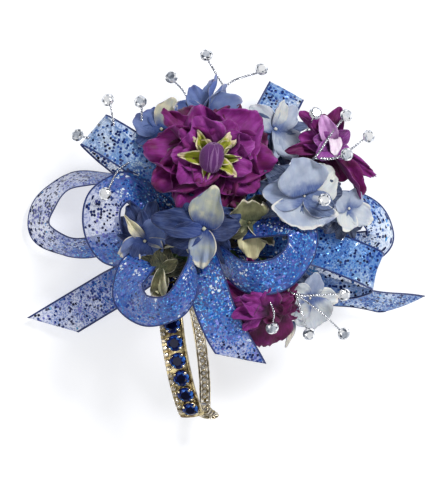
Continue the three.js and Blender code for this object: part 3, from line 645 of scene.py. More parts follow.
@dataclass(frozen=True)
class RibbonFinish(Finish):
    """Sheer cloth with a woven ground, satin edges and glitter flakes on it."""

    edge: str = "162b68"
    tint: str = "6a6cbe"  # a violet cast that comes and goes
    edge_share: float = 0.045
    tilt: float = 0.65
    patchiness: float = 1.1
    threads: float = 26.0  # the scale of the weave
    ground: Stops = ((0.0, "d0d8f0"), (0.3, "8499d2"), (0.6, "3058a8"), (1.0, "102a6c"))
    # the flakes' colours, from navy to a white that is a painted glint
    glints: Stops = (
        (0.0, "060b26"), (0.22, "10225e"), (0.42, "1c47a4"), (0.64, "2a78cc"), (0.8, "66bcf0"),
        (0.95, "eef8ff"),
    )
    large: Flakes = Flakes(1.3 * MM, 0.46, 0.44, (0.0, 0.0, 0.0))
    small: Flakes = Flakes(0.66 * MM, 0.48, 0.62, (3.7, 9.1, 0.0))

    def paint(self, g: Graph) -> Sockets:
        """Lays a weave, satin edges and tilted flakes over the ground, deepens the colour with the
        depth value, partly as painted shade, and brightens flakes in patches as painted glints.
        """
        uv = g.uv_place()
        across = g.add("ShaderNodeSeparateXYZ", {0: uv}).outputs[0]
        cloud = g.maths("SUBTRACT", g.noise(uv, 1.25), 0.5)
        # The depth value deepens ground and flakes: partly the cloth's own denser patches, partly
        # painted shade.
        depth = g.times_plus(cloud, self.patchiness, g.value_of("depth"))
        large, large_hue = self.large.scatter(g, uv)
        small, small_hue = self.small.scatter(g, uv)
        small = g.times(small, g.blend(g.ramp(depth, 0.05, 0.5), 0.35, 1.0))
        flake = g.maths("MAXIMUM", large, small)
        hue = g.mix(large, small_hue, large_hue)
        pick = g.channel(hue, 1)
        inward = g.maths("ABSOLUTE", g.maths("SUBTRACT", across, 0.5))
        edge = g.ramp(inward, 0.5 - self.edge_share * 1.15, 0.5 - self.edge_share * 0.85)
        flake = g.times(flake, g.maths("SUBTRACT", 1.0, edge))
        feeds = {"Vector": uv, "Scale": self.threads}
        waves = (g.add("ShaderNodeTexWave", feeds, bands_direction=way) for way in "XY")
        weave = g.times(*(wave.outputs[1] for wave in waves))
        # Bright flakes gather in patches: painted glints.
        shine = g.ramp(g.noise(g.vector("ADD", uv, (5.3, 2.1, 0.0)), 1.1, 2.0), 0.45, 0.68)
        bright = g.ramp(g.times_plus(shine, 0.5, pick), 1.0, 1.1)
        bright = g.times_plus(bright, 0.46, g.times(large, -0.22))
        glow = g.times_plus(depth, 0.45, g.times_plus(pick, 0.36, bright))
        shaded = g.ramp(depth, 1.1, 1.5)  # painted shade on the far side of a loop
        glow = g.maths("ADD", g.times_plus(shaded, -0.5, glow), 0.17)
        patch = g.ramp(g.noise(uv, 2.6, 2.0), 0.42, 0.72)
        ground = g.mix(g.times(patch, 0.35), g.stops(depth, self.ground), colour(self.tint))
        violet = g.times(g.ramp(g.channel(hue, 2), 0.72, 0.8), 0.7)
        glint = g.mix(violet, g.stops(glow, self.glints), colour(self.tint))
        base = g.mix(edge, g.mix(flake, ground, glint), colour(self.edge))
        cloth = g.times_plus(weave, 0.12, g.blend(g.ramp(depth, 0.0, 0.8), 0.26, 0.8))
        opaque = g.maths("MAXIMUM", flake, edge)
        away = g.vector("SUBTRACT", hue, (0.5, 0.5, 0.5))
        tilt = g.scaled(away, g.times(flake, self.tilt))
        normal = g.add("ShaderNodeNewGeometry").outputs["Normal"]
        normal = g.vector("NORMALIZE", g.vector("ADD", normal, tilt))
        return {
            "Base Color": base, "Metallic": g.times(flake, 0.25),
            "Roughness": g.blend(flake, 0.42, 0.22), "Alpha": g.blend(opaque, cloth, 0.97),
            "Sheen Weight": 0.15, "Sheen Roughness": 0.3, "Normal": normal,
        }


@dataclass(frozen=True)
class MetalFinish(Finish):
    """Polished metal with faint scratches and tarnish."""

    bright: str
    dull: str
    roughness: float = 0.2

    def paint(self, g: Graph) -> Sockets:
        """Lays tarnish and scratches over the metal."""
        place = g.object_place()
        cloud = g.noise(place, 420.0, 4.0)
        scratches = g.noise(g.vector("MULTIPLY", place, (900.0, 5200.0, 900.0)), 1.0, 2.0)
        return {
            "Base Color": g.mix(g.ramp(cloud, 0.38, 0.68), colour(self.bright), colour(self.dull)),
            "Metallic": 1.0, "Roughness": g.blend(cloud, self.roughness * 0.7, self.roughness * 1.5),
            "Normal": g.bump(scratches, 0.15, 0.02 * MM),
        }


@dataclass(frozen=True)
class StoneFinish(Finish):
    """A foiled cut stone: each facet is painted with its own share of reflected light."""

    facets: Stops
    foil: float = 0.45
    coat: float = 1.0
    ior: float = 1.55

    def paint(self, g: Graph) -> Sockets:
        """Gives each facet its colour: the stone's own colour with a painted reflection."""
        place = g.object_place()
        cloud = g.noise(place, 700.0, 1.0)
        spark = g.times_plus(g.maths("SUBTRACT", cloud, 0.5), 0.5, g.value_of("spark"))
        return {
            "Base Color": g.stops(spark, self.facets), "Metallic": self.foil, "Roughness": 0.08,
            "Coat Weight": self.coat, "Coat Roughness": 0.03, "IOR": self.ior,
        }


@dataclass(frozen=True)
class StemFinish(Finish):
    """Stretched floral tape over stems."""

    light: str
    dark: str

    def paint(self, g: Graph) -> Sockets:
        """Lays the tape's creases over its green."""
        place = g.object_place()
        cloud = g.noise(place, 320.0, 3.0)
        crepe = g.noise(g.vector("MULTIPLY", place, (700.0, 700.0, 2600.0)), 1.0, 2.0)
        return {
            "Base Color": g.mix(cloud, colour(self.dark), colour(self.light)), "Roughness": 0.72,
            "Specular IOR Level": 0.3, "Normal": g.bump(crepe, 0.6, 0.15 * MM),
        }


HYDRANGEA = PetalFinish(
    "hydrangea_petal",
    ((0.0, "10204c"), (0.25, "304a86"), (0.5, "6f80b0"), (0.7, "909cb0"),
     (0.86, "a8ac9c"), (1.0, "dad2ae")),
    "1f3878", "e0d8c0", "40589a", "7385b4", deep_base_and_shade_end=0.5, rim_start=0.8,
    vein_depth=0.18, mottling=0.36,
)
WHITENED = PetalFinish(
    "whitened_hydrangea_petal",
    ((0.0, "1c2848"), (0.3, "66779f"), (0.6, "a9b2c4"), (0.85, "cdd1d2"), (1.0, "e0dbcc")),
    "44588e", "e6e2d8", "7488b2", "98a9c4", deep_base_and_shade_end=0.4, rim_start=0.84,
    vein_depth=0.22, mottling=0.4,
)
FADED = PetalFinish(
    "faded_hydrangea_petal", ((0.0, "1d2017"), (0.35, "5b573a"), (0.7, "a8a87c"), (1.0, "e2daae")),
    "39422f", "efe6cf", "7d7c58", "8d8c62", deep_base_and_shade_end=0.5,
)
STOCK = PetalFinish(
    "purple_stock_petal", ((0.0, "470831"), (0.3, "690f53"), (0.6, "821e7c"), (1.0, "a043a2")),
    "1c031a", "c07fbe", "5a1156", "5c0e50", deep_base_and_shade_end=0.5, rim_start=0.85,
    rim_share=0.4, mottling=1.1, crumple=0.2 * MM,
)
BLUSH = PetalFinish(
    "blush_stock_petal", ((0.0, "641468"), (0.3, "8f3d98"), (0.6, "d7a9d8"), (1.0, "f4e6f0")),
    "4a1050", "f2dff0", "a565b0", "c893c8", deep_base_and_shade_end=0.4,
)
BUD = PetalFinish(
    "mauve_bud_petal", ((0.0, "35103f"), (0.5, "61246c"), (1.0, "84468c")), "4b2450",
    "d3a2d6", "5a2266", "6a2d76", deep_base_and_shade_end=0.12, rim_start=0.78, rim_share=0.9,
)
SEPAL = PetalFinish(
    "lime_sepal", ((0.0, "4f5a10"), (0.5, "8d9620"), (1.0, "bfbf4c")), "2f380c", "ecd6c0",
    "7e8a30", "6f781c", rim_start=0.72,
)


class Workshop:
    """What the sub-assemblies build with: the finishes, two node trees and a source of chance."""

    def __init__(self) -> None:
        """Makes the materials and the trees."""
        self.draw = np.random.default_rng(SEED)
        self.strands, self.settings = strand_tree(), setting_tree()
        self.glitter = RibbonFinish("glitter_ribbon").material()
        # A lighter copy of the ribbon for strips on the lit side: painted light.
        lit = ((0.0, "d2e6fb"), (0.3, "82b2e6"), (0.6, "2c6cc0"), (1.0, "0e3280"))
        self.lit_glitter = RibbonFinish("lit_glitter_ribbon", tint="5c88d2", ground=lit).material()
        self.gold = MetalFinish("pale_gold", "c9b98c", "5a4526", 0.2).material()
        self.champagne_metal = MetalFinish("champagne_gold", "fbf1da", "a89668", 0.14).material()
        self.silver = MetalFinish("silver", "eeeff2", "b3b5bc", 0.18).material()
        clear = ((0.0, "0e1016"), (0.28, "626a78"), (0.5, "cfd5df"), (0.74, "ffffff"))
        self.crystal = StoneFinish("clear_crystal", clear).material()
        blue = ((0.0, "02041a"), (0.5, "081040"), (0.82, "15307e"), (1.0, "3a76cc"))
        self.sapphire = StoneFinish("blue_crystal", blue, 0.2, 0.0, 1.3).material()
        champagne = ((0.0, "84765f"), (0.25, "d8ccb4"), (0.5, "faf6ee"), (0.75, "ffffff"))
        self.champagne = StoneFinish("champagne_crystal", champagne, 0.2).material()
        smoky = ((0.0, "3c2e18"), (0.3, "9a855c"), (0.6, "d8cbb0"), (0.9, "ffffff"))
        self.smoky = StoneFinish("smoky_crystal", smoky).material()
        self.tape = StemFinish("floral_tape", "55702f", "2f4420").material()
        petals = (HYDRANGEA, FADED, WHITENED, STOCK, BLUSH, BUD, SEPAL)
        self.petals = {finish.name: finish.material() for finish in petals}

    def twist(
        self, name: str, routes: Sequence[np.ndarray], slot: Slot, *nodes: str, **values: object
    ) -> None:
        """Makes twisted strands along routes.

        Args:
            name: The name of the new object.
            routes: Points of each route, one a row.
            slot: The record's slot for their finish.
            nodes: The solids that they stand for.
            values: A value for each named input of the tree.
        """
        data = bpy.data.curves.new(name + "_route", "CURVE")
        data.dimensions = "3D"
        for route in routes:
            spline = data.splines.new("POLY")
            spline.points.add(len(route) - 1)
            spline.points.foreach_set("co", np.column_stack([route, np.ones(len(route))]).ravel())
        made = self.strands.run(place_in_scene(name + "_route", data), name, **values)
        made.data.shade_smooth()
        turn_outwards(made.data)
        finish_piece(made, slot, *nodes)

    def set_pieces(
        self,
        name: str,
        piece: Object,
        places: Sequence[Matrix],
        material: Material,
        slot: Slot,
        *nodes: str,
        body: Body = Body.CORSAGE,
    ) -> None:
        """Sets a copy of a piece in each frame.

        Args:
            name: The name of the new object.
            piece: The piece, at the origin. It is deleted.
            places: A frame for each copy.
            material: The finish of every copy.
            slot: The record's slot for it.
            nodes: The solids that the copies stand for.
            body: The body that carries them.
        """
        mesh = bpy.data.meshes.new(name + "_points")
        mesh.from_pydata([tuple(m.translation) for m in places], [], [])
        turns = np.array([tuple(m.to_euler("XYZ")) for m in places])
        mesh.attributes.new("turn", "FLOAT_VECTOR", "POINT").data.foreach_set("vector", turns.ravel())
        points = place_in_scene(name + "_points", mesh)
        made = self.settings.run(points, name, Piece=piece, Material=material)
        bpy.data.objects.remove(piece)
        finish_piece(made, slot, *nodes, body=body)


# Petals


@dataclass(frozen=True)
class PetalForm:
    """The shape of one kind of petal, with its base at the origin and its tip along +X."""

    length: float
    width: float
    rise: float  # degrees above the flower's plane where the petal starts
    fall: float  # degrees above that plane where it ends
    cup: float = 0.1  # how far the sides rise, as a share of the length
    ruffle: float = 0.04  # height of the waves on the rim, as a share of the length
    waves: float = 2.2
    point: float = 0.0  # 0 for a round tip, 1 for a pointed one
    crumple: float = 0.015
    claw: float = 0.2  # width at the base as a share of the whole width
    scallop: float = 0.0  # depth of the notches in the tip, as a share of the length
    thickness: float = 0.4 * MM
    rows: int = 17
    columns: int = 19

    def add_to(
        self, shell: Shell, place: Matrix, draw: np.random.Generator, tone: float, pale: float
    ) -> None:
        """Adds one petal to a shell, with small chance differences.

        Args:
            shell: Where the petal goes.
            place: Its frame.
            draw: The source of chance.
            tone: How pale the petal is, from 0 to 1.
            pale: How far the colour of its rim reaches in, from 0 to 1.
        """
        length = self.length * draw.uniform(0.97, 1.03)
        width = self.width * draw.uniform(0.96, 1.04)
        rise = math.radians(self.rise + draw.uniform(-3, 3))
        fall = math.radians(self.fall + draw.uniform(-5, 5))
        phase = draw.uniform(0, 2 * math.pi, 6)
        u = np.linspace(0, 1, self.rows)[:, None]
        v = np.linspace(-1, 1, self.columns)[None, :]
        belly = np.sin(np.pi * (0.06 + 0.76 * u**0.85)) ** 0.75
        belly = belly * (1 - self.point * u**2.2 * 0.8)
        half = width / 2 * (self.claw + (1 - self.claw) * belly)
        notch = self.scallop * u**3 * np.sin(self.waves * 2.3 * np.pi * v + phase[5])
        reach = u * (1 - 0.3 * v**2 * u**1.5) + notch
        slope = rise + (fall - rise) * reach
        middle = (rise + slope) / 2  # the mean slope up to this point
        x = length * reach * np.cos(middle)
        z = length * reach * np.sin(middle)
        y = v * half * np.ones_like(u)
        lift = self.cup * length * v**2 * np.sin(np.pi * np.clip(u * 0.8, 0, 1))
        edge = np.clip(np.abs(v) * 0.7 + u * 0.75 - 0.25, 0, 1.2)
        wave = np.sin(self.waves * np.pi * v + phase[0])
        wave = wave + 0.6 * np.sin(1.7 * self.waves * np.pi * v + phase[1])
        lift = lift + self.ruffle * length * edge**1.6 * wave
        folds = np.sin(5 * v + 7 * u + phase[2]) + np.sin(9 * v - 4 * u + phase[3])
        folds = folds + np.sin(11 * u + 3 * v + phase[4])
        lift = lift + self.crumple * length * folds * u
        lift = lift - 0.03 * length * np.exp(-((v / 0.12) ** 2)) * np.sin(np.pi * u)
        grid = np.stack([x - lift * np.sin(slope), y, z + lift * np.cos(slope)], axis=-1)
        grid = carried(grid, place)
        rim = np.maximum(np.abs(v) ** 1.5 * np.ones_like(u), u * np.ones_like(v))
        thin = self.thickness * (1 - 0.55 * smooth_step(rim, 0.6, 1.0))
        uv = np.stack([u * np.ones_like(v), (v * half) / self.length + 0.5], axis=-1)
        shell.add_sheet(grid, thin, uv=uv, rim=rim - 0.25 * (1 - pale), tone=tone)


@dataclass(frozen=True)
class Petal:
    """One petal of a flower, as it lies in the picture."""

    toward: float  # where it points, in degrees: 0 is right and 90 is up
    length: float  # this and the width are shares of the flower's radius
    width: float
    # how pale the petal is; deep tones stand partly for painted shade on petals that lie in shadow
    tone: float
    rise: float = 10
    fall: float = 0
    form: dict = field(default_factory=dict)  # other values of its form
    roll: float = 0  # turn about its own length in degrees
    pale: float = 0.5
    lift: float = 0.0  # how far over the flower's plane it starts, as a share of the radius
    start: float = 0.04  # from the flower's middle to its base, as a share of the radius
    side: float = 0.0  # how far its base is moved to the left of where it points


def under_petals(*towards: float, length: float = 1.1, tone: float = 0.04) -> list[Petal]:
    """Lists deep-coloured petals that hang under a flower and fill the heap: their deep tone is
    painted shade between the flowers.
    """
    under = {"rise": -12, "fall": -30, "lift": -0.06, "pale": 0.1}
    return [Petal(toward, length, 0.85, tone, **under) for toward in towards]


# Flowers

HEART = spot((-0.07, 0.12, 0.5))
OUTWARD_SHARE = 0.9


def out_of_heart(point: Vector, up_share: float) -> Vector:
    """Finds the direction that a flower at a point faces."""
    away = (point - HEART) * (OUTWARD_SHARE / REACH)
    return (away + UP * up_share).normalized()


@dataclass
class Flower:
    """A flower whose petals are set one by one."""

    name: str
    share: Share
    up_share: float
    radius: float

    def __post_init__(self) -> None:
        """Works out where the flower sits and faces."""
        self.point = spot(self.share)
        self.direction = out_of_heart(self.point, self.up_share)

    @property
    def top(self) -> Vector:
        """The point that the flower's stem reaches."""
        return self.point

    def petal_place(self, petal: Petal, middle: Vector) -> Matrix:
        """Finds a petal's frame.

        Args:
            petal: The petal.
            middle: The middle of its layer.

        Returns:
            A frame with +X along the petal and +Z out of the flower's plane.
        """
        angle = math.radians(petal.toward)
        picture = Vector((math.cos(angle), math.sin(angle), 0.0))
        z = self.direction
        x = (picture - z * picture.dot(z)).normalized()
        y = z.cross(x)
        base = middle + (x * petal.start + y * petal.side + z * petal.lift) * self.radius
        turn = Matrix((x, y, z)).transposed().to_4x4()
        return Matrix.Translation(base) @ turn @ Matrix.Rotation(math.radians(petal.roll), 4, "X")

    def add_petals(
        self, shell: Shell, petals: Sequence[Petal], middle: Vector, draw: np.random.Generator
    ) -> None:
        """Adds petals to a shell, round the middle of their layer."""
        for petal in petals:
            length, width = petal.length * self.radius, petal.width * self.radius
            form = PetalForm(length, width, petal.rise, petal.fall, **petal.form)
            form.add_to(shell, self.petal_place(petal, middle), draw, petal.tone, petal.pale)


@dataclass
class Floret(Flower):
    """A hydrangea floret of broad sepals round a small bead."""

    petals: Sequence[Petal] = ()
    finish: PetalFinish = HYDRANGEA
    slot: Slot = Slot.BLUE_PETAL
    bead_tone: float = 0.95
    bead: float = 0.055

    def build(self, shop: Workshop) -> None:
        """Builds and dresses the floret."""
        shell = Shell()
        self.add_petals(shell, self.petals, self.point, shop.draw)
        self.add_bead(shell, facing(self.point, self.direction), self.radius * self.bead)
        shell.build(self.name + "_petals", shop.petals[self.finish.name], self.slot, self.name)

    def add_bead(self, shell: Shell, place: Matrix, radius: float) -> None:
        """Adds the small round middle, a little flattened, with four lobes."""
        sides, rings = 12, 7
        tilt = np.linspace(0.06, np.pi - 0.06, rings)[:, None]
        angle = np.linspace(0, 2 * np.pi, sides, endpoint=False)[None, :]
        swell = 1 + 0.12 * np.cos(4 * angle) * np.sin(tilt)
        wide = radius * swell * np.sin(tilt)
        x, y = wide * np.cos(angle), wide * np.sin(angle)
        z = radius * 0.8 * np.cos(tilt) * np.ones_like(angle) + radius * 0.9
        points = carried(np.stack([x, y, z], axis=-1), place)
        uv = np.full((rings * sides, 2), 0.9)
        shell.add_tube(points, uv=uv, rim=0.0, tone=self.bead_tone, under=0.0)


FULL = 14 * MM  # the radius of the largest common floret
WAVY = {"ruffle": 0.07, "waves": 2.6, "crumple": 0.022}
POINTED = {"point": 0.8, "cup": 0.16}

# Each petal starts with where it points, its length, width, tone, rise and fall, and its form.
FLORETS = (
    Floret("floret_middle", (-0.09, 0.04, 1.1), 1.6, FULL * 1.05, (
        *under_petals(20, 120, 215, 300), Petal(168, 1.45, 0.8, 0.05, 2, -12, roll=10, pale=0.1),
        Petal(200, 1.1, 0.7, -0.1, -4, -16, pale=0.1), Petal(5, 0.95, 0.75, 0.0, 0, -14, pale=0.3),
        Petal(71, 1.2, 1.1, 0.84, 26, 6, roll=-14, form={"point": 0.5, "cup": 0.14}),
        Petal(266, 1.06, 0.86, 0.74, 10, -14, roll=16, pale=1.0, form={"claw": 0.1, **WAVY}),
    )),
    Floret("floret_right", (0.4, 0.2, 0.98), 1.2, FULL * 1.1, (
        *under_petals(140, 165, 205, 250, 320, 20, length=1.2),
        Petal(8, 1.0, 0.9, 0.0, 0, -10, pale=0.0), Petal(176, 1.06, 0.9, 0.45, 4, -8, pale=0.4),
        Petal(108, 1.02, 1.4, 0.58, 20, 16, lift=0.1, form=WAVY),
        Petal(42, 1.0, 1.15, 0.9, 6, -2, lift=-0.02, form=WAVY),
        Petal(-28, 0.9, 0.7, 0.2, -6, 24, pale=0.6),
        Petal(-96, 0.92, 1.75, 0.62, -26, 62, pale=1.0, form={"cup": 0.26, **WAVY}),
    ), WHITENED, bead=0.03),
    Floret("floret_left", (-0.38, -0.02, 0.86), 1.2, FULL * 0.85, (
        *under_petals(80, 118, 150, 300, 20, length=1.42), Petal(127, 1.1, 0.45, 1.0, 14, 6, POINTED),
        Petal(208, 0.98, 0.85, 0.5, 8, -20, roll=-16, pale=1.0, form={"point": 0.5}),
        Petal(252, 0.78, 0.8, 0.04, 20, 0, pale=0.0),
        Petal(-50, 0.95, 1.0, 0.4, 2, 50, pale=1.0, form={"cup": 0.24}),
        Petal(-4, 1.36, 0.38, 1.0, 8, 14, POINTED), Petal(36, 1.04, 1.0, 0.4, 18, 22, pale=0.0),
    )),
    Floret("floret_lower_left", (-0.3, -0.17, 0.98), 1.4, FULL * 0.66, (
        *under_petals(150, 20, 80, tone=0.0), Petal(100, 0.9, 0.8, 0.0, -4, -14, pale=0.0),
        Petal(36, 0.85, 0.55, 0.12, 4, -6, pale=0.6),
        Petal(-116, 1.3, 0.9, 0.3, 26, -8, roll=-40, pale=1.0, start=-0.1),
        Petal(-74, 1.3, 0.75, 1.0, 30, -4, roll=34, pale=1.0, start=-0.1),
    ), FADED, Slot.GREEN_PETAL, 0.2),
    Floret("floret_centre_right", (0.13, 0.07, 0.92), 1.4, FULL * 0.82, (
        *under_petals(150, 60, 0, 230, tone=0.0), Petal(200, 0.95, 0.8, 0.1, 0, -10),
        Petal(20, 1.0, 0.8, 0.2, 4, -4, pale=0.6), Petal(-82, 1.25, 1.0, 1.0, -6, -16, pale=0.3),
        Petal(96, 1.0, 1.4, 0.55, 24, 58, pale=1.0, form={"cup": 0.12, **WAVY}),
        Petal(150, 0.85, 0.55, 0.6, 16, 4, pale=0.8),
        Petal(-44, 1.12, 0.7, 0.28, 14, -4, roll=-32, pale=1.0, form={"point": 0.5}),
    ), FADED, Slot.GREEN_PETAL, 0.4),
    Floret("floret_top", (-0.09, 0.6, 0.74), 0.8, FULL, (
        *under_petals(200, 250, 300, 350), Petal(110, 0.95, 0.7, 0.4, 4, 0, pale=0.3),
        Petal(74, 1.04, 0.7, 0.62, 22, 24, roll=52, form=POINTED),
        Petal(56, 1.2, 0.7, 0.5, 22, 22, roll=-54, form=POINTED),
        Petal(20, 1.15, 0.9, 0.5, 10, 16, pale=0.3), Petal(160, 0.9, 0.7, 0.3, 6, -6),
    )),
    Floret("floret_upper_left", (-0.3, 0.53, 0.68), 0.8, FULL * 0.85, (
        *under_petals(190, 250, 320), Petal(205, 0.95, 0.8, 0.2, 0, -12, pale=0.2),
        Petal(152, 1.08, 1.0, 0.44, 8, -6, pale=0.2), Petal(112, 0.9, 0.6, 0.25, 0, -5, pale=0.1),
        Petal(70, 1.1, 0.88, 0.9, 14, 20),
    )),
    Floret("floret_top_right", (0.26, 0.53, 0.62), 0.8, FULL * 0.95, (
        *under_petals(190, 240, 266, 290, 340), Petal(166, 0.98, 0.6, 0.14, 4, -4, pale=0.0),
        Petal(14, 1.02, 0.5, 0.16, 6, 0, pale=0.0), Petal(48, 1.0, 0.75, 0.6, 12, 10, pale=0.3),
        Petal(144, 1.04, 0.8, 0.74, 14, 12, pale=0.4), Petal(78, 0.88, 0.5, 0.9, 22, 26, roll=20),
        Petal(-54, 1.3, 1.05, 0.62, 6, -6, pale=0.3),
        Petal(-100, 1.02, 0.45, 0.6, 12, 0, roll=-20, pale=0.4),
    ), WHITENED),
    Floret("floret_far_right", (0.62, 0.14, 0.74), 0.9, FULL * 0.72, (
        *under_petals(180, 225, 262, 300, length=1.3), Petal(205, 0.85, 0.7, 0.12, -4, -10, pale=0.2),
        Petal(62, 0.9, 0.85, 0.52, 12, 6, pale=0.6), Petal(150, 0.95, 0.9, 0.6, 16, 10),
        Petal(-22, 1.12, 1.0, 0.72, 8, 0, pale=0.8, form=WAVY),
        Petal(-110, 0.98, 1.0, 0.84, 4, 22, pale=1.0),
    ), WHITENED),
    Floret("floret_lower_right", (0.43, -0.3, 0.7), 1.0, FULL * 0.88, (
        *under_petals(130, 180), Petal(-10, 1.0, 0.8, 0.86, 2, -8, pale=0.8),
        Petal(82, 0.85, 0.7, 0.5, 6, 0), Petal(150, 0.9, 0.75, 0.8, 8, 0, pale=0.8),
        Petal(-150, 0.95, 0.95, 0.84, 6, 0, pale=0.3),
        Petal(-72, 1.1, 1.45, 0.8, 4, -8, pale=0.3, form=WAVY),
        Petal(-98, 0.95, 0.3, 1.0, -6, -14, start=0.85, side=-0.35, form={"point": 1.0}),
    ), WHITENED, bead=0.04),
    Floret("floret_back", (-0.14, 0.4, 0.12), -0.9, FULL * 0.95, (
        *(Petal(toward, 1.0, 0.95, 0.2 + toward / 700, 10, 6) for toward in (20, 112, 200, 291)),
    )),
)


@dataclass
class Bloom(Flower):
    """A ruffled stock bloom with outer and inner petals."""

    outer: Sequence[Petal] = ()
    inner: Sequence[Petal] = ()
    inner_finish: PetalFinish = STOCK
    up_share: float = 1.5
    radius: float = 16 * MM
    layer_step: float = 5.5 * MM

    def lifted(self, layers: float) -> Vector:
        """Finds the middle of a layer over the outer petals."""
        return self.point + self.direction * (layers * self.layer_step)

    @property
    def top(self) -> Vector:
        """The point that the flower's stem reaches."""
        return self.lifted(0.4)

    def build(self, shop: Workshop) -> None:
        """Builds and dresses both layers."""
        layers = (("outer", self.outer, STOCK), ("inner", self.inner, self.inner_finish))
        for layer, (label, petals, finish) in enumerate(layers):
            shell, name = Shell(), f"{self.name}_{label}"
            self.add_petals(shell, petals, self.lifted(layer), shop.draw)
            material = shop.petals[finish.name]
            shell.build(name + "_ruffles", material, Slot.PURPLE_PETAL, name + "_petals")


@dataclass
class MainBloom(Bloom):
    """The large bloom, with a rolled bud that lies on a star of sepals."""

    sepal_layers: float = 1.5
    sepal_share: float = 0.95
    sink: float = 3 * MM  # how far the star lies below the bloom's middle in the picture
    bud_length: float = 12 * MM
    bud_diameter: float = 9 * MM
    petal_gap: float = 0.8 * MM
    bud_petal: float = 0.3 * MM  # the thickness of the bud's petals
    bud_lie: tuple[float, float, float] = (0.1, 1.0, 0.45)

    @property
    def top(self) -> Vector:
        """The point that the flower's stem reaches."""
        return self.lifted(self.sepal_layers) - Vector((0.0, self.sink, 0.0))

    def build(self, shop: Workshop) -> None:
        """Builds the petals, the sepals and the bud."""
        super().build(shop)
        shell = Shell()
        share = self.bud_length * self.sepal_share / self.radius
        narrow = {"point": 0.7, "claw": 0.4, "ruffle": 0.08, "crumple": 0.05, "cup": 0.3}
        narrow |= {"rows": 13, "columns": 11}
        star = [
            Petal(toward, share * long, share * wide, tone, rise, 4, narrow, roll, 0.8)
            for toward, long, wide, tone, rise, roll in SEPALS
        ]
        self.add_petals(shell, star, self.top, shop.draw)
        lime = shop.petals[SEPAL.name]
        shell.build("main_bloom_star", lime, Slot.GREEN_PETAL, "main_bloom_sepals")
        middle = self.top + self.direction * ((self.bud_diameter + self.petal_gap) / 2)
        self.build_bud(facing(middle, Vector(self.bud_lie)), shop.petals[BUD.name])

    def build_bud(self, place: Matrix, material: Material) -> None:
        """Builds the bud: a core with petals folded round it, so that their pale edges show."""
        shell, rows, columns, sides = Shell(), 23, 19, 24
        u, v = np.linspace(0, 1, rows)[:, None], np.linspace(-1, 1, columns)[None, :]
        up = 0.1 + (np.pi - 0.16) * u
        z = -self.bud_length / 2 * np.cos(up)
        reach = self.bud_diameter / 2 * np.sin(up) ** 0.7
        around = np.linspace(0, 2 * np.pi, sides, endpoint=False)[None, :]
        core = 0.74 * reach
        rings = np.stack([core * np.cos(around), core * np.sin(around), 0.9 * z + 0 * around], axis=-1)
        uv = np.full((rows * sides, 2), 0.5)
        # The core takes the deepest tone and the back colour: partly the bud's deep inner colour,
        # partly painted shade between the folded petals.
        shell.add_tube(carried(rings, place), uv=uv, rim=0.0, tone=0.0, under=1.0)
        folded = ((90, 82, 0.82), (5, 76, 0.86), (170, 76, 0.88), (318, 64, 0.95), (236, 54, 1.0))
        for middle, spread, size in folded:
            wide = 0.45 + 0.55 * np.sin(np.pi * (0.12 + 0.76 * u))
            angle = np.radians(middle + spread * v * wide)
            out = reach * size * (1 + 0.16 * v**4)
            grid = np.stack([out * np.cos(angle), out * np.sin(angle), z + 0 * v], axis=-1)
            rim = np.maximum(np.abs(v) ** 1.4, u**4)
            uv = np.stack([u + 0 * v, v / 2 + 0.5 + 0 * u], axis=-1)
            thin = np.full((rows, columns), self.bud_petal)
            shell.add_sheet(carried(grid, place), thin, uv=uv, rim=rim, tone=0.5)
        shell.build("main_bloom_rolled_bud", material, Slot.PURPLE_PETAL, "main_bloom_bud")


SEPALS = (  # where each points, its length, width, tone, rise and roll
    (4, 0.95, 0.42, 0.3, 24, 14), (30, 1.0, 0.5, 0.7, 34, -20), (62, 1.05, 0.5, 0.8, 30, 20),
    (112, 1.1, 0.5, 0.75, 30, -18), (140, 0.95, 0.5, 0.4, 34, 18), (172, 1.15, 0.5, 0.6, 22, -10),
    (255, 0.8, 0.4, 0.6, 16, 14), (318, 1.0, 0.5, 0.8, 26, -14),
)
FRILLED = {"ruffle": 0.085, "waves": 1.9, "crumple": 0.034, "scallop": 0.012}
CREASED = {"ruffle": 0.13, "waves": 1.6, "crumple": 0.05, "scallop": 0.01, "cup": 0.16}
STRAP = {"ruffle": 0.04, "waves": 1.4, "crumple": 0.03, "claw": 0.45, "cup": 0.2}
SCALLOPED = {"ruffle": 0.03, "waves": 3.0, "crumple": 0.018, "scallop": 0.03, "cup": 0.04}

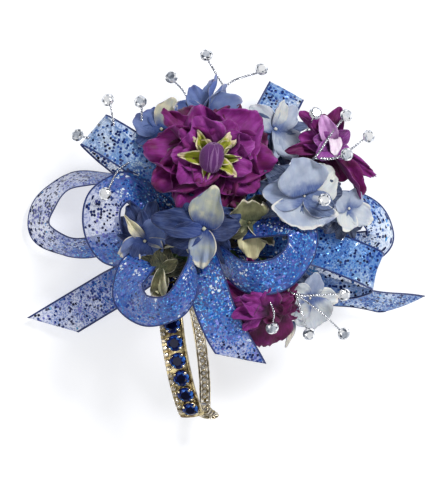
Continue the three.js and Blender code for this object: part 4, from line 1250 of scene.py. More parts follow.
BLOOMS = (
    MainBloom("main_bloom", (-0.05, 0.4, 0.92), radius=26 * MM, outer=(
        # A low ring of deep-toned petals under the ruffles: painted shade in the gaps between them.
        *(Petal(toward, 0.86, 0.72, 0.08, 0, -16, FRILLED, lift=-0.04)
          for toward in (18, 62, 122, 160, 194, 228, 262, 300, 344)),
        Petal(-6, 0.95, 0.85, 0.5, 8, -4, FRILLED), Petal(40, 0.92, 0.95, 0.66, 12, 2, FRILLED),
        Petal(84, 0.68, 0.5, 0.2, 4, 0, FRILLED), Petal(108, 0.76, 0.72, 0.6, 14, 10, CREASED),
        Petal(143, 0.98, 0.44, 0.4, 12, 8, roll=24, form={"point": 0.3, **FRILLED}),
        Petal(175, 1.04, 0.76, 0.5, 8, -4, FRILLED), Petal(208, 1.0, 0.76, 0.4, 10, -6, CREASED),
        Petal(241, 0.93, 0.82, 0.5, 10, -6, CREASED), Petal(282, 0.78, 0.72, 0.35, 6, -8, FRILLED),
        Petal(322, 0.84, 0.8, 0.5, 8, -4, FRILLED),
    ), inner=(
        Petal(12, 0.64, 0.56, 0.75, 16, 2, FRILLED), Petal(54, 0.56, 0.6, 0.6, 16, 10, CREASED),
        Petal(114, 0.58, 0.66, 0.75, 22, 24, CREASED), Petal(146, 0.6, 0.44, 0.5, 24, 10, CREASED),
        Petal(186, 0.62, 0.58, 0.62, 14, 0, FRILLED), Petal(222, 0.68, 0.6, 0.72, 20, 4, CREASED),
        Petal(250, 0.56, 0.5, 0.35, 24, 12, CREASED), Petal(334, 0.64, 0.56, 0.72, 22, 6, CREASED),
    )),
    Bloom("right_bloom", (0.52, 0.44, 0.76), radius=16 * MM, outer=(
        *under_petals(215, 250, length=0.85, tone=0.1), Petal(188, 1.12, 0.36, 0.3, 4, -6, STRAP),
        Petal(164, 0.8, 0.6, 0.6, 8, 0, STRAP),
        Petal(134, 1.12, 0.46, 0.5, 8, 4, roll=20, form={"point": 0.3, **STRAP}),
        Petal(98, 0.8, 0.5, 0.25, 8, 4, STRAP),
        Petal(68, 1.05, 0.52, 0.42, 10, 10, roll=-24, form=STRAP),
        Petal(-28, 1.38, 0.44, 0.55, 6, -4, roll=24, form=SCALLOPED),
        Petal(-54, 1.46, 0.38, 0.35, 4, -10, roll=-20, form=STRAP),
        Petal(-64, 0.9, 0.6, 0.2, 4, -10, STRAP),
    ), inner=(
        Petal(170, 0.55, 0.5, 0.1, 24, 14, STRAP), Petal(-140, 0.6, 0.5, 0.25, 24, 14, STRAP),
        Petal(40, 0.5, 0.42, 0.05, 30, 24, STRAP),
        Petal(112, 0.85, 0.46, 0.5, 30, 26, roll=-16, form=STRAP),
        Petal(-92, 0.62, 0.36, 0.98, 24, 4, start=-0.3, form=STRAP),
        Petal(-48, 0.5, 0.45, 0.2, 24, 10, STRAP),
    ), inner_finish=BLUSH),
    Bloom("lower_bloom", (0.22, -0.34, 0.8), radius=16 * MM, outer=(
        *under_petals(150, 40, 230, length=0.9, tone=0.1),
        Petal(-16, 0.85, 0.65, 0.2, 2, -10, FRILLED), Petal(40, 0.9, 0.75, 0.3, 6, 0, FRILLED),
        Petal(112, 1.3, 0.6, 0.35, 4, 0, FRILLED), Petal(150, 1.3, 0.7, 0.5, 6, -4, FRILLED),
        Petal(180, 1.25, 0.7, 0.55, 8, -6, FRILLED), Petal(212, 1.15, 0.7, 0.45, 6, -10, FRILLED),
        Petal(-92, 1.04, 1.35, 0.16, 4, -14, SCALLOPED),
    ), inner=(
        Petal(90, 0.65, 0.55, 0.4, 20, 10, CREASED), Petal(30, 0.62, 0.5, 0.25, 14, 4, CREASED),
        Petal(150, 0.8, 0.6, 0.6, 18, 6, CREASED),
        Petal(-132, 0.8, 0.36, 0.6, 14, -4, roll=-30, side=-0.2, form=STRAP),
        Petal(190, 0.95, 0.45, 0.65, 16, 4, roll=30, form=STRAP),
        Petal(-40, 0.55, 0.6, 0.1, 16, -10, start=-0.15, form=CREASED),
    )),
)


# The cuff


@dataclass
class Arm:
    """Half of the open oval, in the cuff's own frame, evened out by length."""

    side: int  # 1 for the near arm, -1 for the far one
    body: Body
    length: float = 65 * MM  # of the whole oval
    depth: float = 46 * MM
    gap: float = 24 * MM
    band: float = 0.9 * MM
    plate: float = 20 * MM

    def __post_init__(self) -> None:
        """Works out the curve and its length."""
        self.half_y = (self.length - self.band) / 2
        self.half_z = (self.depth - self.band) / 2
        self.root = math.asin((self.plate / 2 + CLEARANCE + self.band / 2) / self.half_z)
        end = math.pi - math.asin(self.gap / 2 / self.half_z)
        angle = np.linspace(self.root, end, 800)
        zero = np.zeros_like(angle)
        z = self.side * self.half_z * np.sin(angle)
        self.points = np.stack([zero, self.half_y * np.cos(angle), z], axis=-1)
        steps = np.linalg.norm(np.diff(self.points, axis=0), axis=1)
        self.along = np.concatenate([[0], np.cumsum(steps)])
        self.total = float(self.along[-1])

    def frames(self, places: np.ndarray) -> tuple[np.ndarray, np.ndarray, np.ndarray]:
        """Finds points, directions and outward directions at lengths along the arm."""
        at = between(places, self.along, self.points)
        tangent = unit(between(places, self.along, np.gradient(self.points, self.along, axis=0)))
        turned = [np.zeros(len(at)), self.side * tangent[:, 2], -self.side * tangent[:, 1]]
        return at, tangent, np.stack(turned, axis=-1)


@dataclass
class StoneRow:
    """One row of stones in claw cups, on an arm."""

    arm: Arm
    across: float
    base: float
    margin: float
    diameter: float
    pitch: float
    height: float
    swell: float = 1.0  # how much wider the stones look than their seats
    cup_share: float = 1.0  # the cup's radius as a share of the stone's
    cut: Share = (0.95, 1.0, 6, 9, 0.5)  # shares of radius and height, sides, seed, table's light
    slot: Slot = Slot.CLEAR_STONE
    cups: str = "small_cups"
    stones: str = "small_stones"

    def build(self, shop: Workshop, cuff: Matrix, finish: Material, *nodes: str) -> None:
        """Builds the cups and the stones.

        Args:
            shop: What they are built with.
            cuff: The cuff's frame.
            finish: The look of the stones.
            nodes: The solids that the row stands for.
        """
        places, body, metal = self.places(cuff), self.arm.body, shop.champagne_metal
        radius = self.diameter / 2 * self.swell
        cup = claw_cup("cup", radius * self.cup_share, self.height)
        shop.set_pieces(f"{body.value}_{self.cups}", cup, places, metal, Slot.GOLD, *nodes, body=body)
        wide, high, sides, seed, table = self.cut
        cut = brilliant("cut", radius * wide, self.height * high, sides, seed, table)
        shop.set_pieces(f"{body.value}_{self.stones}", cut, places, finish, self.slot, body=body)

    def places(self, cuff: Matrix) -> list[Matrix]:
        """Finds a frame for each stone from root to tip, with +Z out of the band."""
        room = self.arm.total - 2 * self.margin - self.diameter
        count = math.floor(room / self.pitch) + 1
        start = (self.arm.total - (count - 1) * self.pitch) / 2
        at, tangent, out = self.arm.frames(start + self.pitch * np.arange(count))
        frames = []
        for point, along, outward in zip(at, tangent, out):
            y, z = Vector(along), Vector(outward)
            x = y.cross(z)
            turn = Matrix((x, y, z)).transposed().to_4x4()
            seat = Vector(point) + Vector((self.across, 0, 0)) + z * self.base
            frames.append(cuff @ Matrix.Translation(seat) @ turn)
        return frames


def brilliant(
    name: str, radius: float, height: float, sides: int, seed: int, table: float
) -> Object:
    """Cuts a round stone: a flat table, two rows of facets, a girdle and a pointed back.

    Args:
        name: The name of the object.
        radius: The radius of the girdle.
        height: From the point at the back to the table.
        sides: The facets in the first row.
        seed: What the facets' light values are drawn from.
        table: The light value of the flat top.

    Returns:
        The stone, with its point at the origin and its table facing +Z.
    """
    work = bmesh.new()
    rows = (  # the count of corners, their reach and level, and their turn in parts of a corner
        (sides, 0.56, 1.0, 0.0), (sides, 0.82, 0.86, 0.5), (2 * sides, 1.0, 0.62, 0.25),
        (2 * sides, 1.0, 0.55, 0.25), (sides, 0.5, 0.2, 0.5), (1, 0.0, 0.0, 0.0),
    )
    for count, reach, level, shift in rows:
        for i in range(count):
            angle = 2 * math.pi * (i + shift) / count
            x, y = radius * reach * math.cos(angle), radius * reach * math.sin(angle)
            work.verts.new((x, y, height * level))
    bmesh.ops.convex_hull(work, input=work.verts)
    bmesh.ops.dissolve_limit(work, angle_limit=0.01, verts=work.verts, edges=work.edges)
    bmesh.ops.recalc_face_normals(work, faces=work.faces)
    mesh = bpy.data.meshes.new(name)
    work.to_mesh(mesh)
    work.free()
    spark = mesh.attributes.new("spark", "FLOAT", "FACE")
    # Each facet gets a random painted reflection, and the flat top the given one.
    values = np.random.default_rng(seed).uniform(0.05, 1.0, len(mesh.polygons))
    flat_up = [face.normal.z > 0.95 for face in mesh.polygons]
    spark.data.foreach_set("value", np.where(flat_up, table, values))
    mesh.shade_flat()
    return place_in_scene(name, mesh)


def claw_cup(name: str, radius: float, height: float, claws: int = 4) -> Object:
    """Makes the metal cup of a stone: a low wall and claws that bend over the girdle.

    Args:
        name: The name of the object.
        radius: The outside radius of the wall.
        height: From the foot of the cup to the stone's table.
        claws: How many claws hold the stone.

    Returns:
        The cup, with its foot at the origin.
    """
    shell = Shell()
    around = 20
    angle = np.linspace(0, 2 * np.pi, around, endpoint=False)
    circle = np.stack([np.cos(angle), np.sin(angle)], axis=-1)
    section = ((0.72, 0.0), (0.84, 0.0), (0.9, 0.34), (0.82, 0.42), (0.76, 0.36))
    index = np.arange(len(section) * around).reshape(len(section), around)
    rings = [np.column_stack([circle * radius * r, np.full(around, height * z)]) for r, z in section]
    following = np.roll(index, -1, 0)
    corners = (index, np.roll(index, -1, 1), np.roll(following, -1, 1), following)
    shell.add(np.concatenate(rings), np.stack(corners, axis=-1).reshape(-1, 4))
    route = np.array([[0.88, 0.05], [0.99, 0.5], [0.98, 0.76], [0.87, 0.94], [0.76, 0.97]])
    thick = radius * np.array([0.09, 0.11, 0.14, 0.15, 0.09])
    sides = np.linspace(0, 2 * np.pi, 7, endpoint=False)
    for k in range(claws):
        turn = math.pi / claws + 2 * math.pi * k / claws
        out = np.array([math.cos(turn), math.sin(turn), 0.0])
        side = np.array([-math.sin(turn), math.cos(turn), 0.0])
        middle = route[:, :1] * radius * out + route[:, 1:] * height * np.array([0, 0, 1.0])
        along = unit(np.gradient(middle, axis=0))
        over = unit(np.cross(side, along))
        ring = ring_of(sides[None, :], side, over[:, None, :])
        shell.add_tube(middle[:, None, :] + ring * thick[:, None, None])
    return shell.make(name, bpy.data.materials[0])  # the node tree sets the real one


@dataclass
class Cuff:
    """The open cuff: a crown plate and two sprung arms of set stones."""

    swing: float = 8.8
    lean: float = -13.0
    near_width: float = 9.6 * MM
    far_width: float = 4.6 * MM
    rail_width: float = 0.8 * MM
    rail_height: float = 1.5 * MM
    bridge: float = 2.5 * MM
    stone: float = 6.0 * MM
    stone_pitch: float = 6.9 * MM
    stone_height: float = 2.4 * MM
    small: float = 2.2 * MM
    small_pitch: float = 2.7 * MM
    small_height: float = 1.7 * MM
    swell: float = 1.4  # of the far arm's stones
    chain: float = 0.5 * MM
    tip: float = 1.2 * MM
    near_tip: float = 3.0 * MM
    far_tip: float = 6.5 * MM
    far_tip_width: float = 7.6 * MM
    dome: float = 0.5 * MM  # how far the middle of a tip rises
    rib: float = 0.35 * MM
    ribs: int = 5  # of the leaf
    curl: float = 4 * MM  # how far the leaf's end turns aside
    corner: float = 0.3 * MM  # the radius of the rails' edges

    def __post_init__(self) -> None:
        """Finds the cuff's frame from the crown plate and makes the arms."""
        self.near, self.far = Arm(1, Body.NEAR_ARM), Arm(-1, Body.FAR_ARM)
        turn = Matrix.Rotation(math.radians(self.swing), 4, "Z")
        turn = turn @ Matrix.Rotation(math.radians(self.lean), 4, "Y")
        low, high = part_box("crown_plate")
        plate = turn @ Vector((0, self.near.half_y * math.cos(self.near.root), 0))
        self.place = Matrix.Translation((low + high) / 2 - plate) @ turn

    def strip(
        self, shell: Shell, arm: Arm, outline: Outline, start: float = 0, end: float = 0,
        steps: int = 90,
    ) -> None:
        """Sweeps an outline along an arm.

        Args:
            shell: Where the strip goes.
            arm: The arm that it follows.
            outline: Places across the band and out of it, in order round the section.
            start: Where the strip starts, as a length along the arm.
            end: Where it ends, or 0 for the end of the arm.
            steps: The number of steps.
        """
        at, _, out = arm.frames(np.linspace(start, end or arm.total, steps + 1))
        section, wide = np.array(outline), np.array([1.0, 0.0, 0.0])
        rings = at[:, None, :] + section[None, :, :1] * wide + section[None, :, 1:] * out[:, None, :]
        shell.add_tube(carried(rings, self.place))

    def build_bands(self, shop: Workshop) -> None:
        """Builds the near band with its rail and the two rails of the far arm."""
        near, far = Shell(), Shell()
        edge, half = self.near_width / 2, self.near.band / 2
        self.strip(near, self.near, rounded(-edge, edge, -half, half, 0.25 * MM))
        rail = rounded(edge - self.rail_width, edge, -half, self.rail_height, self.corner)
        self.strip(near, self.near, rail)
        near.build("near_arm_smooth_band", shop.gold, Slot.GOLD, "near_arm_band", body=Body.NEAR_ARM)
        edge, half = self.far_width / 2, self.rail_height / 2
        for left in (-edge, edge - self.rail_width):
            rail = rounded(left, left + self.rail_width, -half, half, self.corner)
            self.strip(far, self.far, rail)
        block = rounded(-edge, edge, -half * 0.9, half * 0.9, 0.2 * MM)
        for start in (0, self.far.total - self.bridge):
            self.strip(far, self.far, block, start, start + self.bridge, 4)
        metal = shop.champagne_metal
        far.build("far_arm_smooth_rails", metal, Slot.GOLD, "far_arm_band", body=Body.FAR_ARM)

    def build_tips(self, shop: Workshop) -> None:
        """Builds the rounded end of the near arm and the ribbed leaf of the far one."""
        for arm, neck, flare, length, ribs in (
            (self.near, self.near_width, self.near_width, self.near_tip, 0),
            (self.far, self.far_width, self.far_tip_width, self.far_tip, self.ribs),
        ):
            at, (along,), (outward,) = arm.frames(np.array([arm.total]))
            wide = np.cross(along, outward)
            rows, columns = 31, 25
            s, v = np.linspace(0, 1, rows)[:, None], np.linspace(-1, 1, columns)[None, :]
            swell = neck + (flare - neck) * np.sin(np.pi / 2 * np.clip(s / 0.7, 0, 1)) ** 2
            half = swell / 2 * np.sqrt(np.clip(1 - np.clip((s - 0.55) / 0.451, 0, 1) ** 2.2, 0, 1))
            dome = self.dome * (1 - v**2) * np.sin(np.pi * np.clip(s, 0.02, 1)) ** 0.5
            rib = self.rib * np.abs(np.sin(np.pi * ribs * (s + 0.35 * np.abs(v)))) * (1 - v**8)
            lift = dome + (rib if ribs else 0)
            grid = (
                at[0]
                + along * (CLEARANCE + s * length)[..., None]
                + wide * (v * half)[..., None]
                + outward * lift[..., None]
            )
            grid[..., 0] += (self.curl if ribs else 0) * s**1.6
            shell = Shell()
            shell.add_sheet(carried(grid, self.place), np.full((rows, columns), self.tip * 0.8))
            name, metal = ("ribbed_leaf", shop.champagne_metal) if ribs else ("round_end", shop.gold)
            label, body = arm.body.value, arm.body
            shell.build(f"{label}_{name}", metal, Slot.GOLD, label + "_tip", body=body)

    def build_stones(self, shop: Workshop) -> None:
        """Builds the rows of stones, their cups and the chains that join them."""
        near, far, stone, small = self.near, self.far, self.stone, self.small
        base, half = near.band / 2 + CLEARANCE, small / 4
        left, start = -self.near_width / 2, self.bridge + CLEARANCE
        right = self.near_width / 2 - self.rail_width - CLEARANCE
        large = StoneRow(
            near, right - stone / 2, base, 0, stone, self.stone_pitch, self.stone_height, 1.0, 1.13,
            (1.1, 0.98, 8, 5, 0.1), Slot.BLUE_STONE, "claw_cups", "blue_stones",
        )
        sizes = (small, self.small_pitch, self.small_height)
        beside = StoneRow(near, left + small / 2, base, 0, *sizes)
        middle = StoneRow(far, 0, -self.small_height / 2, start, *sizes, self.swell)
        large.build(shop, self.place, shop.sapphire, "near_arm_stones")
        beside.build(shop, self.place, shop.smoky)
        middle.build(shop, self.place, shop.champagne, "far_arm_stones")
        for arm, first, steps, *box in (
            (near, 0, 90, left, right, base, base + self.chain),
            (far, start, 80, -half, half, -self.chain / 2, self.chain / 2),
        ):
            chain = Shell()
            self.strip(chain, arm, rounded(*box, 0.1 * MM), first, arm.total - first, steps)
            chain.build(arm.body.value + "_cup_chain", shop.gold, Slot.GOLD, body=arm.body)

    def build(self, shop: Workshop) -> None:
        """Builds and dresses the whole cuff."""
        self.build_bands(shop)
        self.build_tips(shop)
        self.build_stones(shop)
        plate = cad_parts["crown_plate"]
        plate.material_slots[0].link = "OBJECT"
        plate.material_slots[0].material = shop.gold
        log.info("crown_plate keeps its solid")


def rounded(left: float, right: float, low: float, high: float, corner: float) -> Outline:
    """Makes a rectangle with round corners, in order round it.

    Args:
        left: The lowest place across.
        right: The highest place across.
        low: The lowest height.
        high: The highest height.
        corner: The radius of the corners.

    Returns:
        The outline's points.
    """
    outline = []
    left, right, low, high = left + corner, right - corner, low + corner, high - corner
    middles = ((right, low, -90), (right, high, 0), (left, high, 90), (left, low, 180))
    for x, y, start in middles:
        for k in range(4):
            angle = math.radians(start + 30 * k)
            outline.append((x + corner * math.cos(angle), y + corner * math.sin(angle)))
    return outline


# Stems and wires


@dataclass
class Bundle:
    """The taped stems, from the crown plate to the flowers, and the tie round them."""

    diameter: float = 8 * MM
    stem: float = 2 * MM
    tie_thickness: float = 1.8 * MM
    tie_length: float = 7 * MM
    plate_thickness: float = 1.6 * MM
    petal: float = 0.8 * MM
    pleats: int = 5
    cloth: float = 0.14 * MM

    def locate(self, cuff: Cuff) -> None:
        """Finds the bundle's foot on the crown plate and the middle of the tie."""
        arm = cuff.near
        over = arm.half_y * math.cos(arm.root) + self.plate_thickness / 2 + CLEARANCE
        self.foot = cuff.place @ Vector((0, over, 0))
        self.foot.y += self.diameter / 4
        self.tie = self.foot.lerp(HEART, 0.5)
        self.axis = (HEART - self.foot).normalized()
        self.side = self.axis.cross(UP).normalized()
        self.tie_radius = self.diameter / 2 + self.tie_thickness + 2 * CLEARANCE

    def at_tie(self, side: int, level: float) -> Vector:
        """Finds a strip's end on the tie.

        Args:
            side: -1 for the tie's left side, 1 for its right side and 0 for its top.
            level: From -1 at its underside to 1 at its top or, on top, from its left to its right.

        Returns:
            The point.
        """
        far = level * self.tie_radius
        near = math.sqrt(self.tie_radius**2 - far**2) + CLEARANCE
        across, up = (side * near, far) if side else (far, near)
        return self.tie + self.side * across + UP * up

    def build(self, shop: Workshop) -> None:
        """Builds the taped bundle, the stems and the tie."""
        self.build_tape(shop)
        routes = []
        for flower in (*FLORETS, *BLOOMS):
            seat = flower.top - flower.direction * (self.petal / 2 + CLEARANCE)
            below = seat - flower.direction * (self.stem * 2)
            routes.append(SmoothPath([HEART, below, seat]).at(np.linspace(0, 1, 24)))
        values = {"Strands": 1, "Radius": self.stem / 2, "Offset": 0.0, "Pitch": 1.0, "Step": 1.5 * MM}
        shop.twist("flower_stems", routes, Slot.STEM, Material=shop.tape, **values)
        self.build_tie(shop)

    def build_tape(self, shop: Workshop) -> None:
        """Builds the bundle with the laps of its tape."""
        path = SmoothPath([self.foot, self.foot.lerp(HEART, 0.5), HEART])
        rings, sides = 90, 40
        places = np.linspace(0, 1, rings)
        middle = path.at(places)
        x = np.array(self.side)
        y = np.cross(np.array(self.axis), x)
        angle = np.linspace(0, 2 * np.pi, sides, endpoint=False)[None, :]
        laps = (places[:, None] * 6 + angle / (2 * np.pi)) % 1.0
        lumps = 1 + 0.035 * np.cos(7 * angle + 3 * places[:, None])
        ends = 1 - 0.5 * (2 * np.abs(places[:, None] - 0.5)) ** 14
        radius = self.diameter / 2 * (0.94 + 0.06 * laps) * lumps * ends
        shell = Shell()
        shell.add_tube(middle[:, None, :] + ring_of(angle, x, y) * radius[..., None])
        shell.build("taped_bundle", shop.tape, Slot.STEM, "stem_bundle")

    def build_tie(self, shop: Workshop) -> None:
        """Builds the tie, a turn of ribbon drawn into pleats round the bundle."""
        rows, sides = 41, 72
        level = np.linspace(-1, 1, rows)[None, :]
        angle = np.linspace(0, 2 * np.pi, sides)[:, None]
        fold = np.abs(((level * self.pleats + 0.25 * np.sin(angle)) % 2) - 1)
        crown = np.sqrt(np.clip(1 - 0.7 * level**2, 0, 1))
        radius = self.diameter / 2 + CLEARANCE + self.tie_thickness * (0.12 + 0.85 * fold * crown)
        drift = 0.35 * MM * np.sin(angle + 1.0)
        x, z = np.array(self.side), np.array(self.axis)
        y = np.cross(z, x)
        half = self.tie_length / 2
        along = z * (level * half * 0.94 + drift)[..., None]
        grid = np.array(self.tie) + ring_of(angle, x, y) * radius[..., None] + along
        turn = 2 * math.pi * (self.diameter / 2 + self.tie_thickness)
        widths = angle / (2 * np.pi) * turn / RIBBON_WIDTH
        uv = np.stack([(level + 1) / 2 + 0 * angle, widths + 0 * level], axis=-1)
        shell = Shell()
        shell.add_sheet(grid, np.full((sides, rows), self.cloth), uv=uv, depth=0.85)
        piece = shell.build("pleated_tie", shop.glitter, Slot.RIBBON, "bow_tie")


@dataclass
class Spray:
    """The crystals on their twisted wires."""

    gem: float = 5.2 * MM
    gem_height: float = 3.2 * MM
    gem_up: float = 1.5

    strands = {
        "Strands": 2, "Radius": 0.24 * MM, "Offset": 0.26 * MM, "Pitch": 2.4 * MM, "Step": 0.3 * MM
    }
    gems = (  # places as shares, the first of them number 1
        (-0.25, 0.78, 0.6), (-0.08, 0.89, 0.5), (0.19, 0.82, 0.56), (-0.4, 0.66, 0.68),
        (-0.56, 0.67, 0.6), (-0.71, 0.5, 0.5), (-0.57, 0.21, 0.84), (0.45, 0.6, 0.92),
        (0.6, 0.59, 0.86), (0.71, 0.49, 0.76), (0.6, 0.4, 1.0), (0.49, 0.18, 1.12),
        (0.24, -0.44, 0.84), (0.42, -0.47, 0.74), (0.59, -0.47, 0.66), (0.59, -0.28, 0.8),
    )
    foot = (-0.09, 0.09, 0.45)
    left_fork, left_bend = (-0.38, 0.4, 0.5), (-0.5, 0.46, 0.52)
    top_fork, top_bend = (-0.07, 0.36, 0.36), (0.01, 0.74, 0.46)
    right_fork, low_fork = (0.447, 0.385, 0.98), (0.36, -0.28, 0.86)
    routes = {
        "left_spray_wire": [
            [foot, (-0.17, 0.2, 0.36), left_fork, 4], [left_fork, left_bend, 5], [left_bend, 6],
            [left_fork, (-0.5, 0.34, 0.66), 7],
        ],
        "top_spray_wire": [
            [foot, top_fork, top_bend, 3], [top_bend, 2], [top_fork, (-0.18, 0.7, 0.46), 1],
        ],
        "right_spray_wire": [
            [foot, (0.24, 0.3, 0.5), right_fork, (0.53, 0.5, 0.95), 9],
            [right_fork, (0.56, 0.39, 0.94), 10],
            [(0.24, 0.3, 0.44), (0.4, 0.5, 0.72), 8],
            [right_fork, (0.52, 0.38, 0.97), 11],
        ],
        "floret_stone_wire": [[foot, (0.25, 0.07, 0.5), (0.45, 0.15, 0.84), 12]],
        "lower_spray_wire": [
            [foot, (0.1, -0.1, 0.4), low_fork, (0.48, -0.285, 0.88), 16],
            [low_fork, (0.39, -0.38, 0.84), 14],
            [low_fork, (0.48, -0.37, 0.84), 15],
            [(0.1, -0.1, 0.4), (0.25, -0.36, 0.98), 13],
        ],
    }

    def gem_place(self, number: int) -> Matrix:
        """Finds a crystal's frame, with its back at the origin."""
        point = spot(self.gems[number - 1])
        return facing(point, out_of_heart(point, self.gem_up))

    def build_crystals(self, shop: Workshop) -> None:
        """Builds each crystal as one cut stone."""
        count = len(self.gems)
        for i in range(count):
            name = f"spray_gem_{i + 1:02d}"
            place = self.gem_place(i + 1) @ Matrix.Rotation(shop.draw.uniform(0, 1), 4, "Z")
            # The tables of the crystals get painted reflections of differing strength.
            table = 0.35 + 0.5 * (7 * i % count) / count
            cut = brilliant(name + "_cut", self.gem / 2, self.gem_height, 8, 20 + i, table)
            shop.set_pieces(name + "_crystal", cut, [place], shop.crystal, Slot.CLEAR_STONE, name)

    def build_wires(self, shop: Workshop) -> None:
        """Builds the wires as two strands twisted together, each to the back of a crystal."""
        back = Vector((0, 0, -CLEARANCE / 2))
        for name, routes in self.routes.items():
            lines = []
            for route in routes:
                stops = [self.gem_place(s) @ back if isinstance(s, int) else spot(s) for s in route]
                lines.append(SmoothPath(stops).at(np.linspace(0, 1, 12 * (len(stops) - 1) + 1)))
            values = {"Material": shop.silver, **self.strands}
            shop.twist(name + "_twist", lines, Slot.SILVER_WIRE, name, **values)

    def build(self, shop: Workshop) -> None:
        """Builds the whole spray."""
        self.build_crystals(shop)
        self.build_wires(shop)


# The bow


@dataclass(frozen=True)
class BowRibbon:
    """One strip of the bow: from the tie through its stations and, in a loop, back to the tie."""

    name: str
    start: tuple[int, float]  # a side of the tie and a level there
    end: tuple[int, float] | None  # none for a tail
    stations: Sequence[Share]  # place, lean, width share, depth of colour (partly painted shade) and, at a fold, run
    longer_side: int = 0  # of a tail's slanted end: 1 left of its run, -1 right of it
    lit: bool = False  # on the side of the heap that catches the light, and dressed in a lighter copy of the cloth: painted light
    tie_depth: float = 0.9  # 0 for one sheer layer, 1 for deep blue, partly as painted shade; over 1, painted shade
    last_depth: float = 0.9
    drawn: float = 0.3  # the width share at the tie
    slant: float = 15 * MM
    samples_per_span: int = 14
    pleats: float = 4.5
    pleat: float = 0.75 * MM  # the height of the gathers near the tie
    flutter: float = 0.45 * MM  # the height of the waves of the edges
    hollow: float = 0.5 * MM  # how far the strip sags between its edges
    cloth: float = 0.12 * MM
    selvedge: float = 0.3 * MM  # what the satin edges add to the cloth

    def rows(self, bundle: Bundle) -> list[tuple]:
        """Lists the point, lean, width share, depth and any run of each station and tie end."""
        first, last = (
            [(bundle.at_tie(*end), 0 if end[0] else 90, self.drawn, depth)] if end else []
            for end, depth in ((self.start, self.tie_depth), (self.end, self.last_depth))
        )
        return first + [(spot(station[:3]), *station[3:]) for station in self.stations] + last

    def build(self, shop: Workshop, bundle: Bundle) -> None:
        """Builds and dresses the strip, and says what cloth it was cut from."""
        rows = self.rows(bundle)
        path = SmoothPath([row[0] for row in rows])
        spans = len(rows) - 1
        count = spans * self.samples_per_span + 1
        places = np.linspace(0, 1, count)
        middle = path.at(places)
        along = path.directions(places)
        across = self.across(rows, path, places)
        across = unit(across - (across * along).sum(1, keepdims=True) * along)
        through = np.cross(along, across)
        share, depth = (
            np.interp(places * spans, range(spans + 1), [row[k] for row in rows]) for k in (2, 3)
        )
        steps = np.linalg.norm(np.diff(middle, axis=0), axis=1)
        run = np.concatenate([[0], np.cumsum(steps)])
        v = self.columns()[None, :]
        half = (RIBBON_WIDTH / 2 * share)[:, None]
        lead = self.longer_side * self.slant / 2 * np.clip(1 - (1 - places) * spans, 0, None)[:, None]
        phase = shop.draw.uniform(0, 2 * math.pi, 4)
        right, left = (run[:, None] / (pace * MM) + phase[k] for k, pace in enumerate((3.4, 3.9)))
        sway = np.where(v > 0, np.sin(right), np.sin(left))
        flutter = self.flutter * np.abs(v) ** 1.6 * sway * share[:, None]
        hollow = -self.hollow * (v**2 - 0.33) * share[:, None]
        drawn = np.clip((0.95 - share) / 0.65, 0, 1)[:, None]
        lift = flutter + hollow + drawn * self.pleat * np.sin(v * math.pi * self.pleats + phase[2])
        grid = (
            middle[:, None, :]
            + along[:, None, :] * (lead * v)[..., None]
            + across[:, None, :] * (half * v)[..., None]
            + through[:, None, :] * lift[..., None]
        )
        edge = smooth_step(np.abs(v), 0.9, 0.99) * np.ones((count, 1))
        thickness = self.cloth + self.selvedge * edge
        grid[..., 2] = np.maximum(grid[..., 2], thickness)
        lengthwise = (run[:, None] + lead * v) / RIBBON_WIDTH
        uv = np.stack([(v + 1) / 2 * np.ones((count, 1)), lengthwise], axis=-1)
        shell = Shell()
        shell.add_sheet(grid, thickness, uv=uv, depth=depth[:, None] + 0 * v)
        finish = shop.lit_glitter if self.lit else shop.glitter
        piece = shell.build(self.name + "_cloth", finish, Slot.RIBBON, self.name)
        log.info("%s was cut from %.0f mm of ribbon", self.name, run[-1] / MM)

    def columns(self) -> np.ndarray:
        """Gives the places across the strip, closer together at its edges."""
        inner = np.linspace(-0.9, 0.9, 19)
        outer = np.array([0.935, 0.97, 1.0])
        return np.concatenate([-outer[::-1], inner, outer])

    def across(self, rows: list[tuple], path: SmoothPath, places: np.ndarray) -> np.ndarray:
        """Finds the directions that the strip's width runs in.

        Args:
            rows: The stations and tie ends.
            path: The strip's middle line.
            places: Shares of the number of spans.

        Returns:
            One direction a row.
        """
        spans = len(rows) - 1
        tangents = path.directions(np.linspace(0, 1, spans + 1))
        sides: list[Vector] = []
        for (_, lean, _, _, *turn), tangent in zip(rows, tangents):
            along = Vector(tangent)
            if turn:
                run = math.radians(turn[0])
                side = Vector((math.cos(run), math.sin(run), 0))
            else:
                tilt, level = math.radians(lean), UP.cross(along).normalized()
                side = level * math.cos(tilt) + along.cross(level) * math.sin(tilt)
            if sides and side.dot(sides[-1]) < 0:
                side = -side
            sides.append(side)
        table = np.array([tuple(side) for side in sides])
        total = np.zeros((len(places), 3))
        for shift in np.linspace(-0.35, 0.35, 7):
            at = np.clip(places * spans + shift, 0, spans)
            total += between(at, range(spans + 1), table)
        return total


